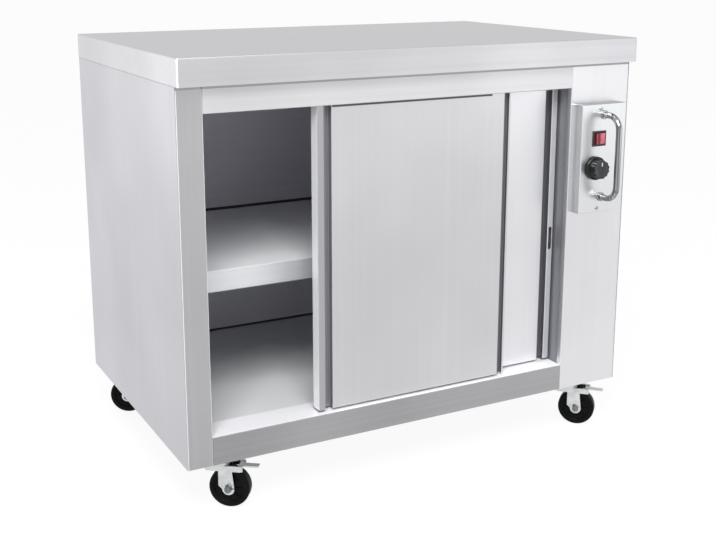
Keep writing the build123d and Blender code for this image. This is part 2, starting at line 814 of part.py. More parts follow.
# ------------------------------------------------------------------ thermostat and knob
with BuildPart() as thermostat:
    block((knob_x - thermostat_width / 2, box_inner_y, knob_height - thermostat_height / 2),
          (knob_x + thermostat_width / 2, box_inner_y + thermostat_depth,
           knob_height + thermostat_height / 2))
    fillet(thermostat.edges().filter_by(Axis.Y), radius=bend_radius)
    rod((knob_x, box_inner_y, knob_height), (knob_x, box_face_y - bushing_height, knob_height),
        bushing_radius)
    rod((knob_x, box_face_y - bushing_height, knob_height),
        (knob_x, box_inner_y + spindle_reach, knob_height), spindle_radius + running_clearance,
        mode=Mode.SUBTRACT)
save(thermostat, "thermostat")

knob_back_y = box_face_y - bushing_height - knob_gap
knob_front_y = box_face_y - knob_length
with BuildPart() as knob:
    rod((knob_x, knob_back_y, knob_height), (knob_x, knob_back_y - knob_skirt_height, knob_height),
        knob_skirt_radius)
    with BuildSketch(Plane.XZ.offset(-knob_back_y + knob_skirt_height)) as grip:
        with Locations((knob_x, knob_height)):
            Circle(knob_grip_radius)
            with PolarLocations(knob_grip_radius + knob_flute_radius / 2, knob_flute_count):
                Circle(knob_flute_radius, mode=Mode.SUBTRACT)
    extrude(grip.sketch, amount=knob_back_y - knob_skirt_height - knob_front_y)
    fillet(knob.faces().sort_by(Axis.Y)[0].edges(), radius=knob_edge_radius)
    block((knob_x - knob_pointer_width / 2, knob_front_y, knob_height),
          (knob_x + knob_pointer_width / 2, knob_front_y + knob_edge_radius / 2,
           knob_height + knob_grip_radius - knob_edge_radius), mode=Mode.SUBTRACT)
    rod((knob_x, knob_back_y, knob_height), (knob_x, box_inner_y + spindle_reach - knob_gap,
                                             knob_height), spindle_radius)
save(knob, "thermostat_knob")

# ------------------------------------------------------------------ fan heater
duct_x = chamber_right + liner_sheet
fan_x = duct_x + duct_length
fan_end_x = fan_x + fan_length
duct_bottom = fan_height - duct_size / 2
element_spread = element_pitch * element_run_count / 2
with BuildPart() as heater_duct:
    block((duct_x, fan_y - duct_size / 2, duct_bottom),
          (fan_x, fan_y + duct_size / 2, fan_height + duct_size / 2))
    block((duct_x, fan_y - duct_size / 2 + duct_wall, duct_bottom + duct_wall),
          (fan_x, fan_y + duct_size / 2 - duct_wall, fan_height + duct_size / 2 - duct_wall),
          mode=Mode.SUBTRACT)
    for spot in (-element_spread, element_spread):
        rod((duct_x + duct_length / 2, fan_y + spot, duct_bottom),
            (duct_x + duct_length / 2, fan_y + spot, duct_bottom + duct_wall),
            element_radius + hole_clearance, mode=Mode.SUBTRACT)
save(heater_duct, "heater_duct")

element_x = duct_x + duct_length / 2
element_low = fan_height - element_half_height
element_high = fan_height + element_half_height
tail_z = duct_bottom - element_tail
with BuildPart() as heating_element:
    path_points = [(element_x, fan_y - element_spread, tail_z)]
    for run in range(element_run_count):
        turn_z = element_high if run % 2 == 0 else element_low
        near_y = fan_y - element_spread + run * element_pitch
        path_points.append((element_x, near_y, turn_z))
        path_points.append((element_x, near_y + element_pitch, turn_z))
    path_points.append((element_x, fan_y + element_spread, tail_z))
    with BuildLine() as element_path:
        FilletPolyline(*path_points, radius=element_bend_radius)
    with BuildSketch(Plane(origin=element_path.line @ 0, z_dir=element_path.line % 0)):
        Circle(element_radius)
    sweep(path=element_path.line)
    block((element_x - element_plate[0] / 2, fan_y - element_plate[1] / 2,
           duct_bottom - element_plate[2]),
          (element_x + element_plate[0] / 2, fan_y + element_plate[1] / 2, duct_bottom))
save(heating_element, "heating_element")

with BuildPart() as fan_frame:
    block((fan_x, fan_y - duct_size / 2, fan_height - duct_size / 2),
          (fan_end_x, fan_y + duct_size / 2, fan_height + duct_size / 2))
    fillet(fan_frame.edges().filter_by(Axis.X), radius=fan_corner_radius)
    rod((fan_x, fan_y, fan_height), (fan_end_x, fan_y, fan_height), fan_bore_radius,
        mode=Mode.SUBTRACT)
    rod((fan_end_x - fan_motor_length, fan_y, fan_height), (fan_end_x, fan_y, fan_height),
        fan_hub_radius)
    for turn in range(strut_count):
        angle = radians(90 + 360 / strut_count * turn)
        reach = fan_bore_radius + strut_width / 2
        with BuildSketch(Plane.YZ.offset(fan_end_x - strut_width)) as strut:
            with Locations((fan_y + reach / 2 * cos(angle), fan_height + reach / 2 * sin(angle))):
                Rectangle(reach, strut_width, rotation=degrees(angle))
        extrude(strut.sketch, amount=strut_width)
    rod((fan_end_x - fan_motor_length, fan_y, fan_height), (fan_end_x, fan_y, fan_height),
        fan_spindle_radius + running_clearance, mode=Mode.SUBTRACT)
save(fan_frame, "fan_frame")

hub_end_x = fan_end_x - fan_motor_length - knob_gap
hub_start_x = hub_end_x - fan_blade_length
with BuildPart() as fan_impeller:
    rod((hub_start_x, fan_y, fan_height), (hub_end_x, fan_y, fan_height), fan_hub_radius)
    rod((hub_end_x, fan_y, fan_height), (fan_end_x - seat_clearance, fan_y, fan_height),
        fan_spindle_radius)
    for turn in range(fan_blade_count):
        angle = radians(360 / fan_blade_count * turn)
        outwards = Vector(0, cos(angle), sin(angle))
        root = Vector((hub_start_x + hub_end_x) / 2, fan_y, fan_height) + outwards * fan_blade_root
        lean = radians(fan_blade_pitch)
        across = Vector(cos(lean), -sin(angle) * sin(lean), cos(angle) * sin(lean))
        with BuildSketch(Plane(origin=root, x_dir=across, z_dir=outwards)) as blade:
            Rectangle(fan_blade_length, fan_blade_sheet)
        extrude(blade.sketch, amount=fan_blade_radius - fan_blade_root)
save(fan_impeller, "fan_impeller")

# ------------------------------------------------------------------ terminals, gland, probe
terminal_x = opening_right + terminal_column
terminal_y = front_y + terminal_setback
terminal_top = floor_top + terminal_size[2]
with BuildPart() as terminal_block:
    block((terminal_x - terminal_size[0] / 2, terminal_y - terminal_size[1] / 2, floor_top),
          (terminal_x + terminal_size[0] / 2, terminal_y + terminal_size[1] / 2, terminal_top))
    slot_pitch = terminal_size[0] / terminal_slot_count
    for spot in range(terminal_slot_count):
        slot_x = terminal_x - terminal_size[0] / 2 + slot_pitch * (spot + 0.5)
        block((slot_x - terminal_slot / 2, terminal_y - terminal_size[1] / 2,
               terminal_top - terminal_slot_depth),
              (slot_x + terminal_slot / 2, terminal_y + terminal_size[1] / 2, terminal_top),
              mode=Mode.SUBTRACT)
save(terminal_block, "terminal_block")

gland_bottom = body_bottom - gland_drop
gland_top = floor_top + gland_nut_height
with BuildPart() as cable_gland:
    rod((gland_x, gland_y, gland_bottom), (gland_x, gland_y, gland_top), gland_thread_radius)
    hexagon_bar((gland_x, gland_y, body_bottom - gland_nut_height),
                (gland_x, gland_y, body_bottom), gland_flange_radius)
    hexagon_bar((gland_x, gland_y, floor_top), (gland_x, gland_y, gland_top), gland_flange_radius)
    rod((gland_x, gland_y, gland_bottom), (gland_x, gland_y, gland_bottom + gland_drop / 2),
        gland_dome_radius)
    rod((gland_x, gland_y, gland_bottom), (gland_x, gland_y, gland_top), gland_bore_radius,
        mode=Mode.SUBTRACT)
save(cable_gland, "cable_gland")

probe_x = duct_x + probe_radius + probe_stand_off
probe_y = front_y + probe_setback
with BuildPart() as thermostat_probe:
    rod((probe_x, probe_y, probe_height), (probe_x, probe_y + probe_length, probe_height),
        probe_radius)
    for inset in probe_clip_insets:
        clip_y = probe_y + inset
        block((duct_x, clip_y - probe_clip_width / 2, probe_height - probe_clip_rise),
              (probe_x, clip_y + probe_clip_width / 2, probe_height + probe_clip_rise))
save(thermostat_probe, "thermostat_probe")

# ------------------------------------------------------------------ castors
fork_inner = wheel_width / 2 + fork_side_clearance
fork_outer = fork_inner + fork_wall
crown_bottom = fork_top - fork_wall
race_top = fork_top + race_height
plate_bottom = body_bottom - castor_plate_sheet


def castor_frame(name):
    """Frame of a castor: origin on the floor under its kingpin, X along its trail."""
    angle = radians(castor_angles[name])
    return Plane(origin=(*castor_places[name], 0), x_dir=(cos(angle), sin(angle), 0),
                 z_dir=(0, 0, 1))


with BuildPart() as fork_form:
    block((-fork_back, -fork_outer, fork_top - fork_skirt), (fork_front, fork_outer, fork_top))
    fillet(fork_form.edges().filter_by(Axis.Z), radius=fork_corner_radius)
    for leg_y in (-fork_outer, fork_inner):
        with BuildSketch(Plane.XZ.offset(-leg_y - fork_wall)) as leg:
            with BuildLine():
                Polyline((castor_trail + fork_leg_front - fork_leg_width, fork_top - fork_skirt),
                         (castor_trail + fork_leg_front - fork_leg_width, wheel_radius + fork_leg_taper),
                         (castor_trail - fork_boss_radius, wheel_radius),
                         (castor_trail + fork_boss_radius, wheel_radius),
                         (castor_trail + fork_leg_front, fork_top - fork_skirt), close=True)
            make_face()
            with Locations((castor_trail, wheel_radius)):
                Circle(fork_boss_radius)
        extrude(leg.sketch, amount=fork_wall)
    block((-fork_back - fork_wall, -fork_inner, 0), (fork_front + fork_wall, fork_inner, crown_bottom),
          mode=Mode.SUBTRACT)
    block((race_radius, -fork_inner, crown_bottom), (fork_front + fork_wall, fork_inner, fork_top),
          mode=Mode.SUBTRACT)
    rod((0, 0, fork_top), (0, 0, race_top), race_radius)
    fillet(fork_form.edges().filter_by(GeomType.CIRCLE).group_by(Axis.Z)[-1], radius=race_edge_radius)
    rod((0, 0, crown_bottom), (0, 0, race_top), kingpin_radius + running_clearance,
        mode=Mode.SUBTRACT)
    rod((castor_trail, -fork_outer, wheel_radius), (castor_trail, fork_outer, wheel_radius),
        axle_radius + hole_clearance, mode=Mode.SUBTRACT)

with BuildPart() as axle_form:
    nut_seat = fork_outer + running_clearance
    nut_y = nut_seat + axle_nut_height
    rod((castor_trail, -nut_y, wheel_radius), (castor_trail, nut_y, wheel_radius), axle_radius)
    for side in (-1, 1):
        hexagon_bar((castor_trail, side * nut_y, wheel_radius),
                    (castor_trail, side * nut_seat, wheel_radius), axle_nut_radius)

with BuildPart() as wheel_form:
    with BuildSketch(Plane(origin=(castor_trail, 0, wheel_radius), x_dir=(1, 0, 0),
                           z_dir=(0, 1, 0))) as wheel_disc:
        Circle(wheel_radius)
    extrude(wheel_disc.sketch, amount=wheel_width / 2, both=True)
    fillet(wheel_form.edges().filter_by(GeomType.CIRCLE), radius=wheel_edge_radius)
    for face_y, inwards in ((wheel_width / 2, -1), (-wheel_width / 2, 1)):
        with BuildSketch(Plane(origin=(castor_trail, face_y, wheel_radius),
                               z_dir=(0, inwards, 0))) as recess:
            Circle(wheel_radius - tyre_depth)
            Circle(hub_radius, mode=Mode.SUBTRACT)
        extrude(recess.sketch, amount=hub_recess, mode=Mode.SUBTRACT)
    rod((castor_trail, -wheel_width, wheel_radius), (castor_trail, wheel_width, wheel_radius),
        axle_radius + running_clearance, mode=Mode.SUBTRACT)

pedal_half = fork_inner - pedal_side_clearance
with BuildPart() as pedal_form:
    with BuildSketch(Plane(origin=(pedal_pivot_reach, pedal_width / 2, pedal_pivot_height),
                           x_dir=(1, 0, 0), z_dir=(0, -1, 0))) as tongue:
        with Locations((pedal_reach / 2, pedal_barrel_radius - pedal_sheet / 2)):
            Rectangle(pedal_reach, pedal_sheet)
    extrude(tongue.sketch, amount=pedal_width)
    rod((pedal_pivot_reach, -pedal_half, pedal_pivot_height),
        (pedal_pivot_reach, pedal_half, pedal_pivot_height), pedal_barrel_radius)
    rod((pedal_pivot_reach, -pedal_half, pedal_pivot_height),
        (pedal_pivot_reach, pedal_half, pedal_pivot_height), pedal_pin_radius + running_clearance,
        mode=Mode.SUBTRACT)

with BuildPart() as pedal_pin_form:
    rod((pedal_pivot_reach, -fork_outer, pedal_pivot_height),
        (pedal_pivot_reach, fork_outer, pedal_pivot_height), pedal_pin_radius)

with BuildPart() as braked_fork_form:
    add(fork_form.part)
    rod((pedal_pivot_reach, -fork_outer, pedal_pivot_height),
        (pedal_pivot_reach, fork_outer, pedal_pivot_height), pedal_pin_radius + hole_clearance,
        mode=Mode.SUBTRACT)

for castor_name in castor_places:
    place = castor_frame(castor_name).location
    braked = castor_name.startswith("front")
    with BuildPart() as castor_fork:
        with Locations(place):
            add(braked_fork_form.part if braked else fork_form.part)
            add(axle_form.part)
            if braked:
                add(pedal_pin_form.part)
    save(castor_fork, f"{castor_name}_castor_fork")
    with BuildPart() as castor_wheel:
        with Locations(place):
            add(wheel_form.part)
    save(castor_wheel, f"{castor_name}_castor_wheel")
    if braked:
        with BuildPart() as brake_pedal:
            with Locations(place):
                add(pedal_form.part)
        save(brake_pedal, f"{castor_name}_brake_pedal")

with BuildPart() as castor_plates:
    for x, y in castor_places.values():
        with BuildSketch(Plane.XY.offset(plate_bottom)) as plate:
            with Locations((x, y)):
                RectangleRounded(castor_plate_size_x, castor_plate_size_y, castor_plate_sheet)
        extrude(plate.sketch, amount=castor_plate_sheet)
        rod((x, y, race_top + race_gap), (x, y, plate_bottom), cup_radius)
        rod((x, y, crown_bottom - seat_clearance), (x, y, plate_bottom), kingpin_radius)
        rod((x, y, crown_bottom - seat_clearance - kingpin_head_height),
            (x, y, crown_bottom - seat_clearance), kingpin_head_radius)
    with Locations(*[(x, y, body_bottom) for x, y in castor_bolt_spots]):
        Hole(castor_bolt_radius + castor_bolt_clearance)
save(castor_plates, "castor_plates")

with BuildPart() as castor_bolts:
    for x, y in castor_bolt_spots:
        hexagon_bar((x, y, plate_bottom - castor_bolt_head), (x, y, plate_bottom),
                    castor_bolt_head_radius)
        rod((x, y, plate_bottom), (x, y, floor_top + castor_nut_height), castor_bolt_radius)
        hexagon_bar((x, y, floor_top), (x, y, floor_top + castor_nut_height),
                    castor_bolt_head_radius)
save(castor_bolts, "castor_bolts")
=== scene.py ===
"""Looks of the heated plate cabinet: its finishes, its fine parts, the studio and the camera."""
import logging
import math
from contextlib import contextmanager
from dataclasses import dataclass, field
from enum import Enum
from typing import Callable, Iterator, Optional

import bmesh
import bpy
from mathutils import Matrix, Vector


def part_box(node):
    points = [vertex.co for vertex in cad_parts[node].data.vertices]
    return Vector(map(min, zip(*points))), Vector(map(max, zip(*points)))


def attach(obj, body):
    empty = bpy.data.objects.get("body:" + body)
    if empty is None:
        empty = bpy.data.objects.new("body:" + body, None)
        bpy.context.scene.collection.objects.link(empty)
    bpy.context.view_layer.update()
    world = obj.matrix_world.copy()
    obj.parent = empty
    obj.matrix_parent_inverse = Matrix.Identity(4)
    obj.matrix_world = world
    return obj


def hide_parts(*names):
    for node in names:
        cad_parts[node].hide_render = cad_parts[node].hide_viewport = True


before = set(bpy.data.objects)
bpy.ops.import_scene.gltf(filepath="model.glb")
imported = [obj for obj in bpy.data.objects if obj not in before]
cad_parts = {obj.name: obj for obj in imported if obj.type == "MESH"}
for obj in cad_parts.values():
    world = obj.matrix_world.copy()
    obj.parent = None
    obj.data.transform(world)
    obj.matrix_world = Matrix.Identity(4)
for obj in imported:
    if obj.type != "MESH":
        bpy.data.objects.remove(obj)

log = logging.getLogger("plate_cabinet")
MM = 0.001
Point = tuple[float, float, float]
# Takes a face's centre and its normal
FaceTest = Callable[[Vector, Vector], bool]
# Takes the places of an edge's two ends
EdgeTest = Callable[[Vector, Vector], bool]
# A coordinate beyond the cabinet on every side
OUTSIDE = 1.0
# A face whose normal goes this far along a direction counts as facing it
SQUARE_ON = 0.9
# Nearer than these, a place on a piece counts as met, and two points of a mesh are one
NEAR, SAME_PLACE = 0.1 * MM, 1e-6
# CAD triangles that differ by no more than this many degrees are one flat face
FLAT_DEGREES = 0.6
# Where most of a noise texture's values lie, and between which shares along a direction a
# normal passes from turned away to facing, both as a Map Range node takes them
NOISE = {"From Min": 0.3, "From Max": 0.7}
FACING = {"From Min": 0.8, "From Max": 0.95}
# How much a direction goes along each of the two axes that it lies halfway between
HALFWAY = 0.707


class Grain(Enum):
    """Direction in which a sheet was brushed or rolled."""

    ACROSS = "X"
    UP = "Z"


# ------------------------------------------------------------------ colour and node helpers
def linear(code: str) -> tuple[float, float, float, float]:
    """Turn an sRGB hex colour into the linear one that a shader socket takes.

    Args:
        code: the colour as #RRGGBB.

    Returns:
        Red, green and blue in linear light, and 1 for alpha.
    """
    def channel(value: int) -> float:
        """Turn one channel to linear light, by the numbers of the sRGB standard."""
        share = value / 255
        return share / 12.92 if share <= 0.04045 else ((share + 0.055) / 1.055) ** 2.4

    red, green, blue = (channel(int(code[i:i + 2], 16)) for i in (1, 3, 5))
    return (red, green, blue, 1.0)


def per_metre(size: float) -> float:
    """Give how many repeats of a pattern, of a size in millimetres, go into a metre."""
    return 1000 / size


def add_node(tree: bpy.types.NodeTree, kind: str, settings: Optional[dict] = None,
             links: Optional[dict] = None) -> bpy.types.Node:
    """Add one node with its settings and its incoming links.

    Args:
        tree: the node tree that gets the node.
        kind: the node's type name.
        settings: attribute or input names with their values.
        links: input names or numbers with the output sockets that feed them.

    Returns:
        The new node.
    """
    node = tree.nodes.new(kind)
    for key, value in (settings or {}).items():
        if isinstance(key, str) and hasattr(node, key) and key not in node.inputs:
            setattr(node, key, value)
        else:
            node.inputs[key].default_value = value
    for key, socket in (links or {}).items():
        tree.links.new(socket, node.inputs[key])
    return node


def fresh_material(name: str) -> tuple[bpy.types.Material, bpy.types.NodeTree,
                                       bpy.types.Node, bpy.types.NodeSocket]:
    """Start a node material with one shader.

    Args:
        name: the material's name.

    Returns:
        The material, its tree, its shader and the object coordinates' socket.
    """
    material = bpy.data.materials.new(name)
    material.use_nodes = True
    tree = material.node_tree
    tree.nodes.clear()
    shader = add_node(tree, "ShaderNodeBsdfPrincipled")
    add_node(tree, "ShaderNodeOutputMaterial", links={"Surface": shader.outputs["BSDF"]})
    coords = add_node(tree, "ShaderNodeTexCoord")
    return material, tree, shader, coords.outputs["Object"]


# ------------------------------------------------------------------ finishes
@dataclass(frozen=True)
class Patch:
    """Part of a sheet with a look of its own: the faces of one direction, or a box of places."""

    colour: str
    metallic: float
    facing: Optional[Point] = None
    low: Point = (-OUTSIDE, -OUTSIDE, -OUTSIDE)
    high: Point = (OUTSIDE, OUTSIDE, OUTSIDE)

    def mask(self, tree: bpy.types.NodeTree, place: bpy.types.NodeSocket
             ) -> bpy.types.NodeSocket:
        """Give 1 on the patch and 0 off it.

        Args:
            tree: the material's node tree.
            place: the object coordinates' socket.

        Returns:
            The mask's socket.
        """
        if self.facing is not None:
            face = add_node(tree, "ShaderNodeNewGeometry")
            turned = add_node(tree, "ShaderNodeVectorMath", {"operation": "DOT_PRODUCT",
                              1: self.facing}, {0: face.outputs["Normal"]})
            near = add_node(tree, "ShaderNodeMapRange", FACING,
                            {"Value": turned.outputs["Value"]})
            # The square keeps the patch off the round that leads up to it
            eased = add_node(tree, "ShaderNodeMath", {"operation": "MULTIPLY"},
                             {0: near.outputs["Result"], 1: near.outputs["Result"]})
            return eased.outputs["Value"]
        low, high = Vector(self.low), Vector(self.high)
        moved = add_node(tree, "ShaderNodeMapping", {"vector_type": "TEXTURE",
                         "Location": (low + high) / 2, "Scale": (high - low) / 2},
                         {"Vector": place})
        size = add_node(tree, "ShaderNodeVectorMath", {"operation": "ABSOLUTE"},
                        {0: moved.outputs["Vector"]})
        split = add_node(tree, "ShaderNodeSeparateXYZ", {}, {"Vector": size.outputs["Vector"]})
        wide = add_node(tree, "ShaderNodeMath", {"operation": "MAXIMUM"},
                        {0: split.outputs["X"], 1: split.outputs["Y"]})
        most = add_node(tree, "ShaderNodeMath", {"operation": "MAXIMUM"},
                        {0: wide.outputs["Value"], 1: split.outputs["Z"]})
        inside = add_node(tree, "ShaderNodeMath", {"operation": "LESS_THAN", 1: 1.0},
                          {0: most.outputs["Value"]})
        return inside.outputs["Value"]


class Layer(Enum):
    """Where a strip of a door lies, from the door's front in millimetres: first and last depth."""

    FACE = (-1.0, 0.5)
    CHANNEL = (1.5, 60.0)


def door_strip(node: str, right: bool, span: tuple[float, float], colour: str, metallic: float,
               layer: Layer) -> Patch:
    """Give the patch of an upright strip of a door, from its foot to its top.

    Args:
        node: the door skin's node.
        right: whether the strip is measured from the door's right end.
        span: where the strip starts and ends, in millimetres from that end.
        colour: the steel's colour there, which in a channel is a painted shade.
        metallic: how much it mirrors there.
        layer: whether it is the face or a channel folded into it.

    Returns:
        The patch.
    """
    low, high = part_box(node)
    near, far = (distance * MM for distance in span)
    start, end = (high.x - far, high.x - near) if right else (low.x + near, low.x + far)
    front, back = layer.value
    return Patch(colour, metallic, low=(start, low.y + front * MM, low.z - MM),
                 high=(end, low.y + back * MM, high.z + MM))


def painted_shade_line(z: float, below: float, above: float, colour: str, left: float = -OUTSIDE,
               right: float = OUTSIDE) -> Patch:
    """Give the patch of a painted shade line, level across upright sheet, through the whole depth.

    Args:
        z: the height of the joint that the line follows.
        below: how far the line reaches down from it, in millimetres.
        above: how far it reaches up.
        colour: the painted shade's colour in the line.
        left: where the line starts.
        right: where it ends.

    Returns:
        The patch of painted shade, half metallic.
    """
    return Patch(colour, 0.5, low=(left, -OUTSIDE, z - below * MM),
                 high=(right, OUTSIDE, z + above * MM))


@dataclass(frozen=True)
class Finish:
    """What every finish has: a name, and a dark and a light colour that a pattern blends."""

    name: str
    dark: str
    light: str

    def two_tone(self, tree: bpy.types.NodeTree, pattern: bpy.types.NodeSocket, low: float,
                 high: float) -> bpy.types.NodeSocket:
        """Blend from the dark colour to the light one.

        Args:
            tree: the material's node tree.
            pattern: the socket that the blend follows.
            low: the pattern's value for the dark colour.
            high: its value for the light colour.

        Returns:
            The colour's socket.
        """
        tone = add_node(tree, "ShaderNodeMapRange", {"From Min": low, "From Max": high},
                        {"Value": pattern})
        colour = add_node(tree, "ShaderNodeMix", {"data_type": "RGBA", 6: linear(self.dark),
                          7: linear(self.light)}, {0: tone.outputs["Result"]})
        return colour.outputs[2]

    def material(self) -> bpy.types.Material:
        """Build the material."""
        raise NotImplementedError


@dataclass(frozen=True)
class BrushedSteel(Finish):
    """Stainless steel sheet, belt-brushed to a satin grain.

    The belt leaves short parallel scratches, so a highlight spreads across them, and the sheet
    keeps broad faint clouds where the pressure of the belt changed.
    """

    grain: Grain = Grain.ACROSS
    roughness: float = 0.34
    gloss_spread: float = 0.03
    metallic: float = 1.0
    scratch_mm: float = 1.2  # real scratches are 0.1 mm wide, drawn coarser so that they show
    scratch_length_mm: float = 160.0
    depth: float = 0.05
    relief_mm: float = 0.2
    streaks: float = 0.35
    streak_mm: float = 9.0
    clouds_per_metre: float = 3.0
    contrast: float = 0.2
    patches: tuple[Patch, ...] = ()

    def material(self) -> bpy.types.Material:
        """Build the material."""
        material, tree, shader, place = fresh_material(self.name)
        scale = [per_metre(self.scratch_mm)] * 3
        scale["XYZ".index(self.grain.value)] = per_metre(self.scratch_length_mm)
        stretched = add_node(tree, "ShaderNodeMapping", {"Scale": scale}, {"Vector": place})
        scratches = add_node(tree, "ShaderNodeTexNoise", {"Scale": 1.0, "Detail": 3.0,
                             "Roughness": 0.6}, {"Vector": stretched.outputs["Vector"]})
        share = self.scratch_mm / self.streak_mm
        streaked = add_node(tree, "ShaderNodeMapping", {"Scale": [s * share for s in scale]},
                            {"Vector": place})
        streaks = add_node(tree, "ShaderNodeTexNoise", {"Scale": 1.0, "Detail": 2.0},
                           {"Vector": streaked.outputs["Vector"]})
        clouds = add_node(tree, "ShaderNodeTexNoise", {"Scale": self.clouds_per_metre,
                          "Detail": 2.0}, {"Vector": place})
        blend = add_node(tree, "ShaderNodeMath", {"operation": "MULTIPLY_ADD", 1: self.streaks},
                         {0: streaks.outputs["Fac"], 2: clouds.outputs["Fac"]})
        middle = (1 + self.streaks) / 2
        colour = self.two_tone(tree, blend.outputs["Value"], middle - self.contrast,
                               middle + self.contrast)
        tree.links.new(colour, shader.inputs["Base Color"])
        shader.inputs["Metallic"].default_value = self.metallic
        self.lay_patches(tree, shader, place, colour)
        rough = add_node(tree, "ShaderNodeMapRange", {
            **NOISE, "To Min": self.roughness - self.gloss_spread,
            "To Max": self.roughness + self.gloss_spread}, {"Value": scratches.outputs["Fac"]})
        tree.links.new(rough.outputs["Result"], shader.inputs["Roughness"])
        bump = add_node(tree, "ShaderNodeBump", {"Strength": self.depth,
                        "Distance": self.relief_mm * MM}, {"Height": scratches.outputs["Fac"]})
        tree.links.new(bump.outputs["Normal"], shader.inputs["Normal"])
        return material

    def lay_patches(self, tree: bpy.types.NodeTree, shader: bpy.types.Node,
                    place: bpy.types.NodeSocket, colour: bpy.types.NodeSocket) -> None:
        """Lay the patches over the sheet's colour and its metallic value, one over another.

        Args:
            tree: the material's node tree.
            shader: the shader that takes the results.
            place: the object coordinates' socket.
            colour: the socket of the sheet's own colour.
        """
        metal = None
        for patch in self.patches:
            on = patch.mask(tree, place)
            painted = add_node(tree, "ShaderNodeMix", {"data_type": "RGBA",
                               7: linear(patch.colour)}, {0: on, 6: colour})
            colour = painted.outputs[2]
            duller = add_node(tree, "ShaderNodeMix", {2: self.metallic, 3: patch.metallic},
                              {0: on} if metal is None else {0: on, 2: metal})
            metal = duller.outputs[0]
        if metal is not None:
            tree.links.new(colour, shader.inputs["Base Color"])
            tree.links.new(metal, shader.inputs["Metallic"])


@dataclass(frozen=True)
class PlatedSteel(Finish):
    """Pressed steel under bright zinc: a light metal with a faint crystal mottle and dull spots."""

    roughness: float = 0.26
    mottle_mm: float = 2.5
    spots_per_metre: float = 60.0
    spot_share: float = 0.35
    tones: tuple[float, float] = (0.35, 0.85)
    glossier: float = 0.06
    duller: float = 0.1
    wave: float = 0.12
    relief_mm: float = 0.3

    def material(self) -> bpy.types.Material:
        """Build the material."""
        material, tree, shader, place = fresh_material(self.name)
        mottle = add_node(tree, "ShaderNodeTexVoronoi", {"Scale": per_metre(self.mottle_mm)},
                          {"Vector": place})
        spots = add_node(tree, "ShaderNodeTexNoise", {"Scale": self.spots_per_metre,
                         "Detail": 3.0}, {"Vector": place})
        mixed = add_node(tree, "ShaderNodeMath", {"operation": "MULTIPLY_ADD",
                         1: self.spot_share}, {0: mottle.outputs["Distance"],
                         2: spots.outputs["Fac"]})
        colour = self.two_tone(tree, mixed.outputs["Value"], *self.tones)
        tree.links.new(colour, shader.inputs["Base Color"])
        rough = add_node(tree, "ShaderNodeMapRange", {
            **NOISE, "To Min": self.roughness - self.glossier,
            "To Max": self.roughness + self.duller}, {"Value": spots.outputs["Fac"]})
        tree.links.new(rough.outputs["Result"], shader.inputs["Roughness"])
        bump = add_node(tree, "ShaderNodeBump", {"Strength": self.wave,
                        "Distance": self.relief_mm * MM}, {"Height": spots.outputs["Fac"]})
        tree.links.new(bump.outputs["Normal"], shader.inputs["Normal"])
        shader.inputs["Metallic"].default_value = 1.0
        return material


@dataclass(frozen=True)
class MouldedPolymer(Finish):
    """Injection-moulded plastic or rubber: a fine spark-eroded texture and slightly uneven gloss."""

    roughness: float = 0.45
    texture_mm: float = 0.8  # the real texture is about 0.1 mm, drawn coarser so that it shows
    flow_per_metre: float = 35.0
    tones: tuple[float, float] = (0.35, 0.65)
    glossier: float = 0.06
    duller: float = 0.08
    depth: float = 0.15
    relief_mm: float = 0.1
    specular: float = 0.5

    def material(self) -> bpy.types.Material:
        """Build the material."""
        material, tree, shader, place = fresh_material(self.name)
        grit = add_node(tree, "ShaderNodeTexNoise", {"Scale": per_metre(self.texture_mm),
                        "Detail": 2.0}, {"Vector": place})
        flow = add_node(tree, "ShaderNodeTexNoise", {"Scale": self.flow_per_metre,
                        "Detail": 3.0}, {"Vector": place})
        colour = self.two_tone(tree, flow.outputs["Fac"], *self.tones)
        tree.links.new(colour, shader.inputs["Base Color"])
        rough = add_node(tree, "ShaderNodeMapRange", {
            **NOISE, "To Min": self.roughness - self.glossier,
            "To Max": self.roughness + self.duller}, {"Value": flow.outputs["Fac"]})
        tree.links.new(rough.outputs["Result"], shader.inputs["Roughness"])
        bump = add_node(tree, "ShaderNodeBump", {"Strength": self.depth,
                        "Distance": self.relief_mm * MM}, {"Height": grit.outputs["Fac"]})
        tree.links.new(bump.outputs["Normal"], shader.inputs["Normal"])
        shader.inputs["Specular IOR Level"].default_value = self.specular
        return material


@dataclass(frozen=True)
class MineralWool(Finish):
    """Pressed mineral wool board: matt tangled fibres in uneven ochre."""

    fibre_mm: float = 3.0
    flattening: float = 3.0
    tangle: float = 1.5
    tones: tuple[float, float] = (0.3, 0.7)
    depth: float = 0.6
    relief_mm: float = 1.0
    roughness: float = 0.95

    def material(self) -> bpy.types.Material:
        """Build the material."""
        material, tree, shader, place = fresh_material(self.name)
        flat = add_node(tree, "ShaderNodeMapping", {"Scale": (1.0, 1.0, self.flattening)},
                        {"Vector": place})
        fibres = add_node(tree, "ShaderNodeTexNoise", {"Scale": per_metre(self.fibre_mm),
                          "Detail": 5.0, "Distortion": self.tangle},
                          {"Vector": flat.outputs["Vector"]})
        colour = self.two_tone(tree, fibres.outputs["Fac"], *self.tones)
        tree.links.new(colour, shader.inputs["Base Color"])
        bump = add_node(tree, "ShaderNodeBump", {"Strength": self.depth,
                        "Distance": self.relief_mm * MM}, {"Height": fibres.outputs["Fac"]})
        tree.links.new(bump.outputs["Normal"], shader.inputs["Normal"])
        shader.inputs["Roughness"].default_value = self.roughness
        return material


